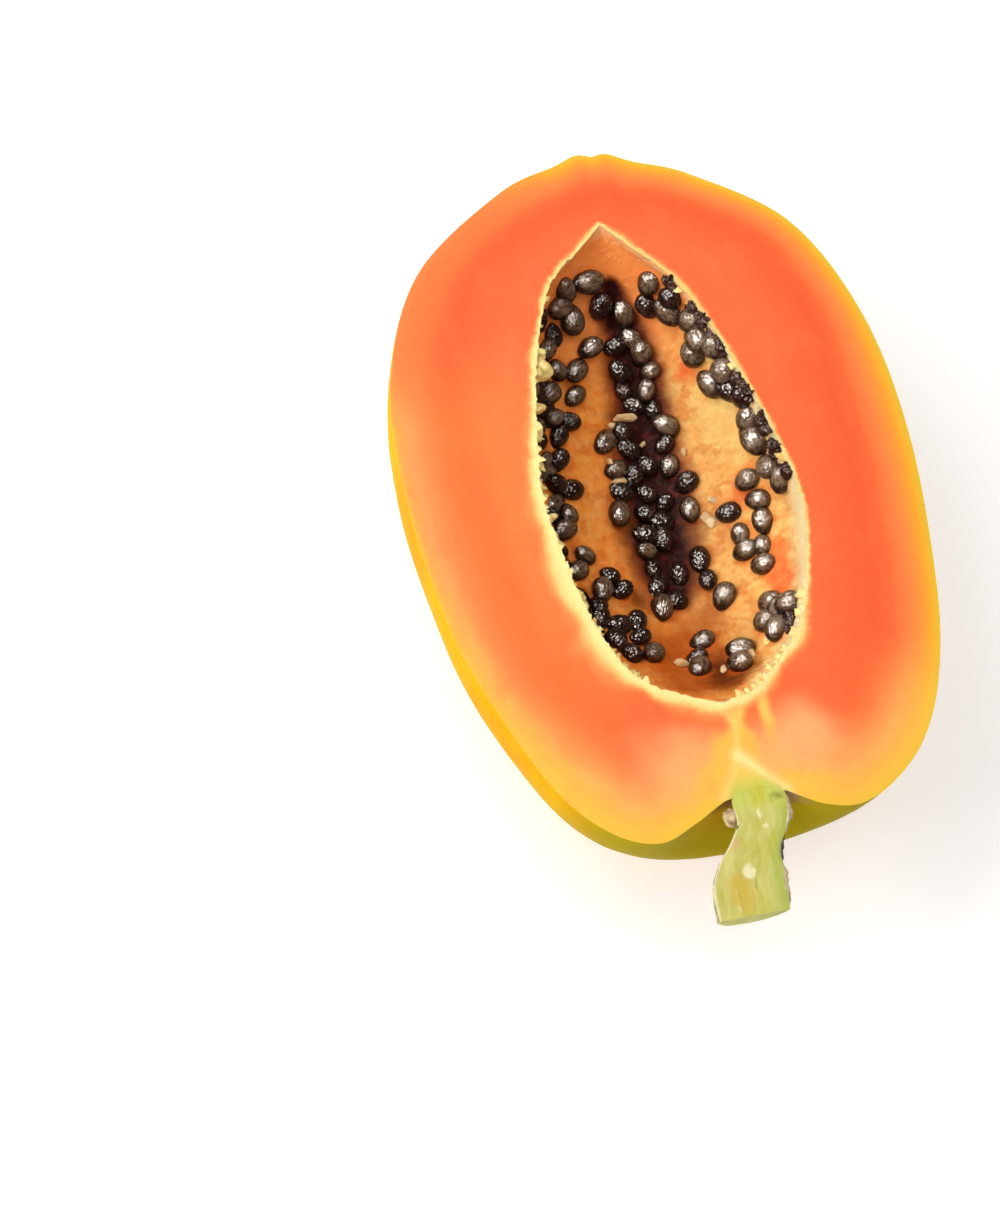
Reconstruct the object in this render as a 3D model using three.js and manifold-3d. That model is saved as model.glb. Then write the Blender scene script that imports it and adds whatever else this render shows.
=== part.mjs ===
// Half of a ripe papaya, cut lengthwise through its stem, lying on its skin with the cut face up.
// Millimetres, +Z up. The fruit is drawn about its own axis: X across the cut face, Y along the
// axis from the stem to the blossom tip, Z up out of the cut face. At the end the whole is moved
// so that it stands on z = 0 with its middle over the origin.
import * as THREE from 'three';
import { mergeGeometries, mergeVertices } from 'three/addons/utils/BufferGeometryUtils.js';
import Module from 'manifold-3d';

// ---- driving dimensions ------------------------------------------------------------------------

// Outlines of the fruit, as [distance from the axis, distance along it from the stem's seat].
// All three pass through matching stations: seat, socket, lobe crest, shoulder, belly, neck, tip.
const RIGHT_EDGE = [
  [0, 0.4], [6.5, 0.1], [10, -1.8], [16, -4.8], [24, -6], [33, -2.5], [43, 6], [51, 20],
  [57, 42], [61, 80], [58, 113], [46, 140], [24, 155.5], [10, 160.7], [4, 163.4], [0, 163],
];
const LEFT_EDGE = [
  [0, 0.4], [6.5, 0.1], [10, -1.2], [16, -4.2], [25, -7.2], [35, -3.5], [45, 7], [54, 26],
  [61.5, 50], [64.8, 86], [61, 114], [49, 138], [25, 156], [10, 161.5], [4, 163.8], [0, 163],
];
const UNDERSIDE = [
  [0, 0.4], [6.5, 0.1], [10, -1.5], [16, -4.6], [24.5, -6.8], [34, -3.5], [43, 6], [51, 22],
  [57.4, 44], [60.5, 77], [56.8, 110], [46, 138], [24, 156], [10, 161], [4, 163.5], [0, 163],
];

// The seed hollow, drawn the same way about an axis a little left of the fruit's own.
const HOLLOW_OFFSET = -2.4;
const HOLLOW_RIGHT = [
  [0, 22.5], [8, 24.6], [16, 30.5], [23, 38], [28.5, 51], [32.2, 68],
  [30.5, 83], [26, 101], [21, 116], [14.5, 129], [6, 138.5], [0, 144.7],
];
const HOLLOW_LEFT = [
  [0, 22.5], [8, 25.6], [15, 29], [21, 35], [26.5, 50], [29.4, 68],
  [30, 80], [27, 98], [23, 114], [16, 130.5], [7, 138.5], [0, 144.7],
];
const HOLLOW_FLOOR = [
  [0, 22.5], [7, 26], [14, 31.5], [21, 39], [27, 51], [30.5, 67],
  [31, 82], [28.5, 99.5], [23.5, 115], [16, 129.5], [7, 138.5], [0, 144.7],
];
const HOLLOW_FULLNESS = 0.1; // how much the walls fill out between the rim and the floor
const STAR_DEPTH = 0.05; // five shallow furrows, as a share of the hollow's radius
const STAR_FURROWS = 5;
const STAR_ANGLE = 78; // degrees below the right rim at which the deepest furrow lies

const CUT_HEIGHT = 59.8; // the cut face above the surface that the half lies on

// The stem, cut in half with the fruit: [along, centre across, half width].
const STEM_STATIONS = [
  [-0.25, 0.6, 5.9], [-5.5, 0.3, 6], [-9.3, -2.05, 6.3], [-12, -3.95, 6.8],
  [-15, -5.6, 7.6], [-20, -7.15, 8.5], [-27, -7.6, 8.5],
];
const STEM_ROUNDNESS = 0.92; // depth of the stem behind its cut face over its half width

// A seed in its wet coat: half its length, width and thickness.
const SEED_HALF = new THREE.Vector3(3.2, 2.4, 2.3);
const SEED_SIZE_SPREAD = 0.14; // seeds are this much larger or smaller than the mean
const SEED_SPACING = 4.2; // nearest that two seeds' middles come to each other
const SEED_LIFT = [0.4, 1.6]; // how far a seed's middle stands off the wall
const SEED_TILT = 0.5; // radians by which a seed may lean out of the wall's plane
const SEED_STRAY = { along: 0.45, round: 5 }; // off its row: share of a step, and degrees
const SEED_TRIES = 40;
const FIRST_DRAW = 1907;

// The rows that the seeds grow in. A row's ends are [place along the hollow, from 0 at the stem to
// 1 at the blossom tip, and degrees below the right rim].
const SEED_ROWS = [
  { name: 'right rim', from: [0.8, 14], to: [0.5, 15], count: 11 },
  { name: 'right rim, inside', from: [0.85, 30], to: [0.64, 27], count: 4 },
  { name: 'right belly, upper', from: [0.555, 32], to: [0.4, 31], count: 5 },
  { name: 'right belly, middle', from: [0.52, 46], to: [0.43, 43], count: 3 },
  { name: 'right belly, lower', from: [0.475, 63], to: [0.37, 58], count: 3 },
  { name: 'right foot', from: [0.355, 34], to: [0.285, 23], count: 3 },
  { name: 'right foot, rim', from: [0.335, 17], to: [0.31, 42], count: 3 },
  { name: 'foot', from: [0.335, 71], to: [0.245, 80], count: 3 },
  { name: 'foot, right', from: [0.305, 55], to: [0.215, 51], count: 2 },
  { name: 'furrow', from: [0.79, 76], to: [0.39, 88], count: 14 },
  { name: 'furrow, right', from: [0.825, 65], to: [0.53, 64], count: 11 },
  { name: 'furrow, foot', from: [0.46, 77], to: [0.385, 78], count: 2 },
  { name: 'furrow, left', from: [0.66, 93], to: [0.54, 91], count: 4 },
  { name: 'furrow, head', from: [0.81, 50], to: [0.8, 38], count: 2 },
  { name: 'furrow, middle', from: [0.62, 73], to: [0.47, 81], count: 6 },
  { name: 'crown', from: [0.885, 116], to: [0.805, 82], count: 4 },
  { name: 'crown, left', from: [0.855, 128], to: [0.755, 131], count: 4 },
  { name: 'crown, middle', from: [0.81, 116], to: [0.765, 99], count: 2 },
  { name: 'left wall', from: [0.75, 124], to: [0.31, 119], count: 16 },
  { name: 'left wall, upper', from: [0.745, 114], to: [0.65, 114], count: 3 },
  { name: 'left wall, lower', from: [0.475, 112], to: [0.3, 104], count: 5 },
  { name: 'left wall, under the rim', from: [0.72, 142], to: [0.38, 138], count: 6 },
];

// Steps of the facets: along the axis and round it.
const SKIN_STEPS = [45, 24];
const HOLLOW_STEPS = [33, 18];
const STEM_STEPS = [14, 12];
const JOIN_WITHIN = 1e-4; // corners nearer than this are one corner

// ---- the outlines as curves --------------------------------------------------------------------

const HALF_TURN = Math.PI;

/** A smooth curve through an outline's stations; its point at t has x = radius and y = along. */
function outline(stations) {
  return new THREE.SplineCurve(stations.map(([radius, along]) => new THREE.Vector2(radius, along)));
}

const skinCurves = [RIGHT_EDGE, LEFT_EDGE, UNDERSIDE].map(outline);
const hollowCurves = [HOLLOW_RIGHT, HOLLOW_LEFT, HOLLOW_FLOOR].map(outline);
const stemCentre = outline(STEM_STATIONS.map(([along, centre]) => [centre, along]));
const stemWidth = outline(STEM_STATIONS.map(([along, , half]) => [half, along]));

/** The outline at an angle below the right edge, blended from the right, left and lower ones. */
function blendedOutline([right, left, lower], t, angle) {
  const side = Math.cos(angle) > 0 ? right : left;
  const sideShare = Math.cos(angle) ** 2;
  return side.getPoint(t).multiplyScalar(sideShare).addScaledVector(lower.getPoint(t), 1 - sideShare);
}

/** A point at a radius and angle below the cut face, about an axis that is offset across it. */
function below(radius, along, angle, offset = 0) {
  return new THREE.Vector3(offset + radius * Math.cos(angle), along, -radius * Math.sin(angle));
}

/** A point of the skin: t runs from the stem's seat to the blossom tip. */
function skinPoint(t, angle) {
  const station = blendedOutline(skinCurves, t, angle);
  return below(station.x, station.y, angle);
}

/** A point of the hollow's wall: t runs from its end at the stem to its end at the blossom. */
function hollowPoint(t, angle) {
  const station = blendedOutline(hollowCurves, t, angle);
  const fullness = HOLLOW_FULLNESS * Math.sin(2 * angle) ** 2;
  const furrow = Math.cos(STAR_FURROWS * (angle - THREE.MathUtils.degToRad(STAR_ANGLE)));
  const star = STAR_DEPTH * Math.sin(angle) * furrow;
  return below(station.x * (1 + fullness + star), station.y, angle, HOLLOW_OFFSET);
}

// ---- surfaces and solids -----------------------------------------------------------------------

/** A grid of triangles over a surface that is given as a function of t and angle. */
function grid(surface, [alongSteps, roundSteps], facingIn = false) {
  const positions = [];
  for (let i = 0; i <= alongSteps; i++) {
    for (let j = 0; j <= roundSteps; j++) {
      const point = surface(i / alongSteps, (HALF_TURN * j) / roundSteps);
      positions.push(point.x, point.y, point.z);
    }
  }
  const row = roundSteps + 1;
  const index = [];
  for (let i = 0; i < alongSteps; i++) {
    for (let j = 0; j < roundSteps; j++) {
      const corner = i * row + j;
      const quad = [corner, corner + 1, corner + row + 1, corner, corner + row + 1, corner + row];
      index.push(...(facingIn ? quad.reverse() : quad));
    }
  }
  const geometry = new THREE.BufferGeometry();
  geometry.setAttribute('position', new THREE.Float32BufferAttribute(positions, 3));
  geometry.setIndex(index);
  return geometry;
}

/** The rim that a surface makes in the cut face, once round. */
function rim(surface, steps) {
  const points = [];
  for (let i = 0; i < steps; i++) points.push(surface(i / steps, 0));
  for (let i = steps; i > 0; i--) points.push(surface(i / steps, HALF_TURN));
  return points.map(({ x, y }) => new THREE.Vector2(x, y));
}

/** The flat cut face, from the skin in to the hollow. */
function cutFace() {
  const face = new THREE.Shape(rim(skinPoint, SKIN_STEPS[0]));
  face.holes.push(new THREE.Path(rim(hollowPoint, HOLLOW_STEPS[0])));
  return new THREE.ShapeGeometry(face);
}

/** One closed geometry from several surfaces that share their edges. */
function closed(...surfaces) {
  const bare = surfaces.map((surface) => {
    surface.deleteAttribute('normal');
    surface.deleteAttribute('uv');
    return surface;
  });
  const merged = mergeVertices(bare.length > 1 ? mergeGeometries(bare) : bare[0], JOIN_WITHIN);
  return withoutSlivers(merged);
}

/** Drops the triangles that lose a corner where a grid closes to a point. */
function withoutSlivers(geometry) {
  const corners = geometry.index.array;
  const kept = [];
  for (let i = 0; i < corners.length; i += 3) {
    const [a, b, c] = corners.slice(i, i + 3);
    if (a !== b && b !== c && c !== a) kept.push(a, b, c);
  }
  geometry.setIndex(kept);
  return geometry;
}

const wasm = await Module();
wasm.setup();

/** A closed geometry as a solid that can be joined and cut. */
function solid(geometry) {
  return new wasm.Manifold(new wasm.Mesh({
    numProp: 3,
    vertProperties: new Float32Array(geometry.attributes.position.array),
    triVerts: new Uint32Array(geometry.index.array),
  }));
}

/** A solid back as a geometry. */
function geometryOf(body) {
  const mesh = body.getMesh();
  const geometry = new THREE.BufferGeometry();
  geometry.setAttribute('position', new THREE.BufferAttribute(mesh.vertProperties, 3));
  geometry.setIndex(new THREE.BufferAttribute(mesh.triVerts, 1));
  geometry.computeVertexNormals();
  return geometry;
}

// ---- the flesh and its skin --------------------------------------------------------------------

/** The half fruit, hollow and all, before its seeds. */
function flesh() {
  return solid(closed(
    grid(skinPoint, SKIN_STEPS),
    grid(hollowPoint, HOLLOW_STEPS, true),
    cutFace(),
  ));
}

/** What the surface under the fruit takes off it: the small flat spot that it lies on. */
function surfaceBelow() {
  const side = 400;
  const block = new THREE.BoxGeometry(side, side, side);
  block.translate(0, 0, -CUT_HEIGHT - side / 2);
  return solid(closed(block));
}

// ---- the seeds ---------------------------------------------------------------------------------

/** Even draws from 0 to 1 that are the same each time. */
function drawsFrom(first) {
  const modulus = 2 ** 31 - 1;
  const multiplier = 16807;
  let state = first;
  return () => {
    state = (state * multiplier) % modulus;
    return state / modulus;
  };
}

/** The hollow's wall at t and angle: its point, and the directions along it and out of it. */
function wallFrame(t, angle) {
  const step = 1e-3;
  const point = hollowPoint(t, angle);
  const along = hollowPoint(t + step, angle).sub(hollowPoint(t - step, angle)).normalize();
  const round = hollowPoint(t, angle + step).sub(hollowPoint(t, angle - step)).normalize();
  const out = new THREE.Vector3().crossVectors(along, round).normalize();
  return { point, along, out };
}

/** Places for every seed: each strays from its step of the row, clear of the seeds before it. */
function placeSeeds() {
  const draw = drawsFrom(FIRST_DRAW);
  const either = () => 2 * draw() - 1;
  const seeds = [];
  for (const { from, to, count } of SEED_ROWS) {
    for (let k = 0; k < count; k++) {
      for (let attempt = 0; attempt < SEED_TRIES; attempt++) {
        const share = (k + 0.5 + SEED_STRAY.along * either()) / count;
        const t = THREE.MathUtils.lerp(from[0], to[0], share);
        const degrees = THREE.MathUtils.lerp(from[1], to[1], share) + SEED_STRAY.round * either();
        const { point, along, out } = wallFrame(t, THREE.MathUtils.degToRad(degrees));
        const lift = THREE.MathUtils.lerp(...SEED_LIFT, draw());
        const middle = point.addScaledVector(out, lift);
        if (seeds.some((seed) => seed.middle.distanceTo(middle) < SEED_SPACING)) continue;
        const turn = HALF_TURN * draw();
        const lean = SEED_TILT * either();
        const scale = 1 + SEED_SIZE_SPREAD * either();
        seeds.push({ middle, along, out, turn, lean, scale });
        break;
      }
    }
  }
  return seeds;
}

/** One seed as a closed geometry, long across its own X. */
function seedGeometry({ middle, along, out, turn, lean, scale }) {
  const long = along.clone().applyAxisAngle(out, turn);
  const side = new THREE.Vector3().crossVectors(out, long).normalize();
  long.applyAxisAngle(side, lean);
  const up = new THREE.Vector3().crossVectors(long, side).normalize();
  const geometry = new THREE.OctahedronGeometry(1, 1);
  geometry.scale(...SEED_HALF.clone().multiplyScalar(scale).toArray());
  geometry.applyMatrix4(new THREE.Matrix4().makeBasis(long, side, up).setPosition(middle));
  return closed(geometry);
}

/** The half with its seeds grown on and its resting spot, as one piece. */
function papayaHalf() {
  const seeds = placeSeeds().map((seed) => solid(seedGeometry(seed)));
  const whole = wasm.Manifold.union([flesh(), ...seeds]).subtract(surfaceBelow());
  const pieces = whole.decompose().sort((a, b) => b.volume() - a.volume());
  return geometryOf(pieces[0]);
}

// ---- the stem ----------------------------------------------------------------------------------

/** A point of the stem's bark: t runs from its seat in the fruit to its cut end. */
function barkPoint(t, angle) {
  const { x: half, y: along } = stemWidth.getPoint(t);
  const point = below(half, along, angle, stemCentre.getPoint(t).x);
  point.z *= STEM_ROUNDNESS;
  return point;
}

/** The stem's flat cut face, and its two ends as fans from their right-hand corners. */
function stemFaces([alongSteps, roundSteps]) {
  const row = roundSteps + 1;
  const index = [];
  for (let i = 0; i < alongSteps; i++) {
    const right = i * row;
    const left = right + roundSteps;
    index.push(right, left + row, right + row, right, left, left + row);
  }
  const last = alongSteps * row;
  for (let j = 1; j < roundSteps; j++) {
    index.push(0, j, j + 1);
    index.push(last, last + j + 1, last + j);
  }
  return index;
}

/** The stem as a closed half round. */
function stem() {
  const geometry = grid(barkPoint, STEM_STEPS, true);
  geometry.setIndex([...geometry.index.array, ...stemFaces(STEM_STEPS)]);
  return geometryOf(solid(closed(geometry)));
}

// ---- the whole ---------------------------------------------------------------------------------

/** A named mesh with the colour and gloss of its piece. */
function piece(name, geometry, color, roughness) {
  const mesh = new THREE.Mesh(geometry, new THREE.MeshStandardMaterial({ color, roughness, metalness: 0 }));
  mesh.name = name;
  return mesh;
}

const papaya = new THREE.Group();
papaya.add(piece('papaya_half', papayaHalf(), 0xff7438, 0.4));
papaya.add(piece('stem', stem(), 0xb9bf66, 0.6));

const bounds = new THREE.Box3().setFromObject(papaya);
const middle = bounds.getCenter(new THREE.Vector3());
papaya.position.set(-middle.x, -middle.y, -bounds.min.z);
papaya.updateMatrixWorld(true);

export default papaya;
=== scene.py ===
"""The looks of a ripe papaya half: coral flesh in a thin yellow skin, a seed hollow with its wet
seeds and torn lining, and the fruit's half of the stem.

Shapes are drawn in millimetres along the fruit's own axes: X across the cut face, Y along the fruit
from the stem's seat to the blossom tip, and Z up out of the cut face, which lies at zero. FruitAxes
says where those axes lie in the row frame.
"""

from __future__ import annotations

import logging
import math
from dataclasses import dataclass, field, replace
from enum import Enum
from typing import Any, Iterator, Sequence

import bmesh
import bpy
import numpy as np
from mathutils import Matrix, Vector, noise


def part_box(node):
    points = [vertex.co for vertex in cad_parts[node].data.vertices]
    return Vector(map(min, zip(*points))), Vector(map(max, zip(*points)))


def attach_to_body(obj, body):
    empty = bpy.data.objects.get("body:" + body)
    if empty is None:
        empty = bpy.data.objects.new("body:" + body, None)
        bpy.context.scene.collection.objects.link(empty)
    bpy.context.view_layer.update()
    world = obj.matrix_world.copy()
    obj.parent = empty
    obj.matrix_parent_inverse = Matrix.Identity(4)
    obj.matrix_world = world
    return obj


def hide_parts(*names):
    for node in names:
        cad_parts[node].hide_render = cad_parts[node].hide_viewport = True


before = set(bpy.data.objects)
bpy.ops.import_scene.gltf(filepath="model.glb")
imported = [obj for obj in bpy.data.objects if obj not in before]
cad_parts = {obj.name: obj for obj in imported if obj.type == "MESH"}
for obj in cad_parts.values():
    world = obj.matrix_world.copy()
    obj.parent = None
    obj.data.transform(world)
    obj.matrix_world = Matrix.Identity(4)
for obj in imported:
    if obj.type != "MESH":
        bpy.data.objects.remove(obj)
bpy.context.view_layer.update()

MM = 0.001  # a millimetre in metres
BODY = "root"
BATCH = 2048  # how many points are measured at once
UP = np.array([0.0, 0.0, 1.0])  # out of the cut face

Colour = tuple[float, float, float, float]
WHITE: Colour = (1.0, 1.0, 1.0, 1.0)
log = logging.getLogger("papaya")


# ---- numbers ------------------------------------------------------------------------------------


def ease(low: float, high: float, value: np.ndarray) -> np.ndarray:
    """A smooth step from 0 at low to 1 at high."""
    share = np.clip((value - low) / (high - low), 0.0, 1.0)
    return share * share * (3.0 - 2.0 * share)


def drift(points: np.ndarray, size: float, octaves: int = 1, shift: float = 0.0) -> np.ndarray:
    """Smooth noise over points.

    Args:
        points: places in millimetres, in an array whose last axis is x, y, z.
        size: how wide a swell of the noise is, in millimetres.
        octaves: how many finer layers it has.
        shift: moves the noise, so that two uses of it differ.

    Returns:
        A number from about -1 to 1 for each point.
    """
    flat = (points.reshape(-1, 3) / size + shift).tolist()
    drawn = [noise.fractal(place, 1.0, 2.0, octaves) for place in flat]
    return np.array(drawn).reshape(points.shape[:-1])


def creases(points: np.ndarray, size: float, shift: float = 0.0) -> np.ndarray:
    """A net of sharp ridges over points, 1 on a ridge and 0 well between two."""
    return np.clip(1.0 - 4.0 * np.abs(drift(points, size, 2, shift)), 0.0, 1.0)


def unit(vectors: np.ndarray) -> np.ndarray:
    """Vectors made one long, apart from those of no length, which stay."""
    length = np.linalg.norm(vectors, axis=-1, keepdims=True)
    return vectors / np.where(length > 1e-12, length, 1.0)


def turned(vector: np.ndarray, axis: np.ndarray, angle: float) -> np.ndarray:
    """A vector turned about a unit axis."""
    cosine, sine = math.cos(angle), math.sin(angle)
    return vector * cosine + np.cross(axis, vector) * sine + axis * (axis @ vector) * (1 - cosine)


def nearest(points: np.ndarray, others: np.ndarray) -> np.ndarray:
    """Distance from each point to the nearest of the others.

    Args:
        points: places, in an array whose last axis is the coordinates.
        others: rows of coordinates.

    Returns:
        The distances, in the points' own layout.
    """
    flat = points.reshape(-1, points.shape[-1])
    found = np.empty(len(flat))
    for start in range(0, len(flat), BATCH):
        some = slice(start, start + BATCH)
        gaps = flat[some, None, :] - others[None, :, :]
        found[some] = np.sqrt((gaps**2).sum(-1).min(-1))
    return found.reshape(points.shape[:-1])


class Draws:
    """Even draws that are the same on every run."""

    MODULUS = 2**31 - 1
    MULTIPLIER = 16807

    def __init__(self, first: int) -> None:
        """Starts the draws from a whole number."""
        self.state = first

    def draw(self) -> float:
        """The next draw, from 0 to 1."""
        self.state = (self.state * self.MULTIPLIER) % self.MODULUS
        return self.state / self.MODULUS

    def either(self) -> float:
        """The next draw, from -1 to 1."""
        return 2.0 * self.draw() - 1.0

    def between(self, low: float, high: float) -> float:
        """The next draw, from low to high."""
        return low + (high - low) * self.draw()


# ---- the fruit's form ---------------------------------------------------------------------------


class Outline:
    """A smooth curve through stations, with t from 0 at the first to 1 at the last."""

    def __init__(self, *stations: tuple[float, ...]) -> None:
        """Takes the stations in order."""
        self.stations = np.array(stations, float)

    def at(self, t: np.ndarray) -> np.ndarray:
        """Points of the curve.

        Args:
            t: places along the curve.

        Returns:
            The stations' coordinates at each place, on a new last axis.
        """
        last = len(self.stations) - 1
        place = last * np.asarray(t, float)
        index = np.clip(np.floor(place).astype(int), 0, last - 1)
        share = (place - index)[..., None]
        before, here, after, beyond = (
            self.stations[np.clip(index + step, 0, last)] for step in (-1, 0, 1, 2)
        )
        leave, arrive = (after - before) / 2, (beyond - here) / 2
        cubic = 2 * here - 2 * after + leave + arrive
        square = -3 * here + 3 * after - 2 * leave - arrive
        return ((cubic * share + square) * share + leave) * share + here


@dataclass(frozen=True)
class HalfForm:
    """Half of a hollow or of a fruit below the cut face, blended from three outlines.

    Each outline is drawn as distance from the axis and distance along it.
    """

    NUDGE = 1e-3  # the step in t and in radians that a direction is measured over
    FINE_PLACES = 4001  # how many places a length is summed over

    right: Outline
    left: Outline
    lower: Outline
    offset: float = 0.0
    fullness: float = 0.0
    star_depth: float = 0.0
    star_furrows: int = 5
    star_angle: float = 78.0

    def points(self, t: np.ndarray, angle: np.ndarray) -> np.ndarray:
        """Points of the surface.

        Args:
            t: places along the axis, from 0 at the stem's end to 1 at the blossom's.
            angle: turns below the right edge of the cut face, in radians.

        Returns:
            x, y, z of each point, on a new last axis.
        """
        t, angle = np.broadcast_arrays(np.asarray(t, float), np.asarray(angle, float))
        cosine, sine = np.cos(angle), np.sin(angle)
        side = np.where(cosine[..., None] > 0, self.right.at(t), self.left.at(t))
        side_share = (cosine**2)[..., None]
        station = side * side_share + self.lower.at(t) * (1 - side_share)
        furrow = np.cos(self.star_furrows * (angle - math.radians(self.star_angle)))
        swell = 1 + self.fullness * np.sin(2 * angle) ** 2 + self.star_depth * sine * furrow
        radius = station[..., 0] * swell
        across = self.offset + radius * cosine
        return np.stack([across, station[..., 1], -radius * sine], -1)

    def inward(self, t: np.ndarray, angle: np.ndarray) -> tuple[np.ndarray, np.ndarray]:
        """The surface's direction along the fruit and the one towards its axis.

        Args:
            t: places along the axis.
            angle: turns below the right edge, in radians.

        Returns:
            Two arrays of unit vectors.
        """
        step = self.NUDGE
        along = unit(self.points(t + step, angle) - self.points(t - step, angle))
        round_axis = unit(self.points(t, angle + step) - self.points(t, angle - step))
        return along, unit(np.cross(along, round_axis))

    def even_places(self, count: int) -> np.ndarray:
        """Places t that lie evenly along the surface.

        Args:
            count: how many steps there are between them.

        Returns:
            count + 1 places, from 0 to 1.
        """
        fine = np.linspace(0.0, 1.0, self.FINE_PLACES)
        length = np.zeros(len(fine))
        for outline in (self.right, self.left, self.lower):
            steps = np.linalg.norm(np.diff(outline.at(fine), axis=0), axis=1)
            length[1:] += np.cumsum(steps)
        return np.interp(np.linspace(0.0, length[-1], count + 1), length, fine)


CUT_HEIGHT = 59.8  # the cut face above the surface that the half lies on
WIDEST_LEFT = 64.8  # the left edge's greatest distance from the axis
STEM_LENGTH = 27.0

FRUIT = HalfForm(
    right=Outline(
        (0, 0.4), (6.5, 0.1), (10, -1.8), (16, -4.8), (24, -6), (33, -2.5), (43, 6), (51, 20),
        (57, 42), (61, 80), (58, 113), (46, 140), (24, 155.5), (10, 160.7), (4, 163.4), (0, 163),
    ),
    left=Outline(
        (0, 0.4), (6.5, 0.1), (10, -1.2), (16, -4.2), (25, -7.2), (35, -3.5), (45, 7), (54, 26),
        (61.5, 50), (64.8, 86), (61, 114), (49, 138), (25, 156), (10, 161.5), (4, 163.8), (0, 163),
    ),
    lower=Outline(
        (0, 0.4), (6.5, 0.1), (10, -1.5), (16, -4.6), (24.5, -6.8), (34, -3.5), (43, 6), (51, 22),
        (57.4, 44), (60.5, 77), (56.8, 110), (46, 138), (24, 156), (10, 161), (4, 163.5), (0, 163),
    ),
)

HOLLOW = HalfForm(
    right=Outline(
        (0, 22.5), (8, 24.6), (16, 30.5), (23, 38), (28.5, 51), (32.2, 68),
        (30.5, 83), (26, 101), (21, 116), (14.5, 129), (6, 138.5), (0, 144.7),
    ),
    left=Outline(
        (0, 22.5), (8, 25.6), (15, 29), (21, 35), (26.5, 50), (29.4, 68),
        (30, 80), (27, 98), (23, 114), (16, 130.5), (7, 138.5), (0, 144.7),
    ),
    lower=Outline(
        (0, 22.5), (7, 26), (14, 31.5), (21, 39), (27, 51), (30.5, 67),
        (31, 82), (28.5, 99.5), (23.5, 115), (16, 129.5), (7, 138.5), (0, 144.7),
    ),
    offset=-2.4,
    fullness=0.1,
    star_depth=0.05,
)


@dataclass(frozen=True)
class FruitAxes:
    """Where the fruit's own axes lie in the row frame."""

    origin: np.ndarray

    @classmethod
    def from_frame(cls) -> FruitAxes:
        """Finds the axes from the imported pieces' boxes."""
        low, high = (np.array(corner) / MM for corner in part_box("papaya_half"))
        stem_low = np.array(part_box("stem")[0]) / MM
        return cls(np.array([low[0] + WIDEST_LEFT, stem_low[1] + STEM_LENGTH, high[2]]))

    def place(self, points: np.ndarray) -> np.ndarray:
        """Points in the row frame, in metres."""
        return (points + self.origin) * MM


# ---- meshes -------------------------------------------------------------------------------------


@dataclass
class MeshStack:
    """Grids of points that are gathered into one mesh, welded where they meet."""

    WELD = 2e-6  # corners nearer than this, in metres, are one corner

    points: list[np.ndarray] = field(default_factory=list)
    quads: list[np.ndarray] = field(default_factory=list)
    slots: list[np.ndarray] = field(default_factory=list)
    fields: dict[str, list[np.ndarray]] = field(default_factory=dict)
    count: int = 0

    def add(self, grid: np.ndarray, slot: int = 0, looped: bool = False, **fields: Any) -> None:
        """Adds a grid.

        Args:
            grid: its points, as rows and columns of x, y, z.
            slot: the material slot of its faces.
            looped: whether its last column joins its first.
            **fields: named values of its points, in the grid's layout, or one number each.
        """
        rows, columns = grid.shape[:2]
        corner = np.arange(rows * columns).reshape(rows, columns) + self.count
        if looped:
            corner = np.hstack([corner, corner[:, :1]])
        quads = np.stack([corner[:-1, :-1], corner[:-1, 1:], corner[1:, 1:], corner[1:, :-1]], -1)
        self.points.append(grid.reshape(-1, 3))
        self.quads.append(quads.reshape(-1, 4))
        self.slots.append(np.full(quads[..., 0].size, slot))
        for name, values in fields.items():
            spread = np.broadcast_to(values, (rows, columns)).ravel()
            self.fields.setdefault(name, []).append(spread)
        self.count += rows * columns

    def build(
        self,
        name: str,
        materials: Sequence[bpy.types.Material],
        axes: FruitAxes,
        sharp: float = 180.0,
    ) -> bpy.types.Object:
        """Makes the object.

        Args:
            name: the piece's name.
            materials: its material slots in order.
            axes: where the fruit lies.
            sharp: the angle in degrees past which an edge is shaded sharp.

        Returns:
            The object, linked to the scene.
        """
        mesh = bpy.data.meshes.new(name)
        mesh.from_pydata(axes.place(np.concatenate(self.points)), [], np.concatenate(self.quads))
        mesh.polygons.foreach_set("material_index", np.concatenate(self.slots).astype(np.int32))
        for label, values in self.fields.items():
            layer = mesh.attributes.new(label, "FLOAT", "POINT")
            layer.data.foreach_set("value", np.concatenate(values).astype(np.float32))
        self._weld(mesh)
        mesh.shade_smooth()
        if sharp < 180.0:
            mesh.set_sharp_from_angle(angle=math.radians(sharp))
        for material in materials:
            mesh.materials.append(material)
        piece = bpy.data.objects.new(name, mesh)
        bpy.context.scene.collection.objects.link(piece)
        return piece

    def _weld(self, mesh: bpy.types.Mesh) -> None:
        """Joins the corners that meet and turns every face outward."""
        work = bmesh.new()
        work.from_mesh(mesh)
        bmesh.ops.remove_doubles(work, verts=work.verts, dist=self.WELD)
        bmesh.ops.recalc_face_normals(work, faces=work.faces)
        work.to_mesh(mesh)
        work.free()


def ball(rows: int, columns: int) -> np.ndarray:
    """A unit ball as a looped grid, with its poles on the X axis."""
    down = np.linspace(0.0, math.pi, rows)[:, None]
    across = np.linspace(0.0, 2.0 * math.pi, columns, endpoint=False)[None, :]
    parts = (np.cos(down) + 0 * across, np.sin(down) * np.cos(across), np.sin(down) * np.sin(across))
    return np.stack(parts, -1)


# ---- shader maths -------------------------------------------------------------------------------


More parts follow.
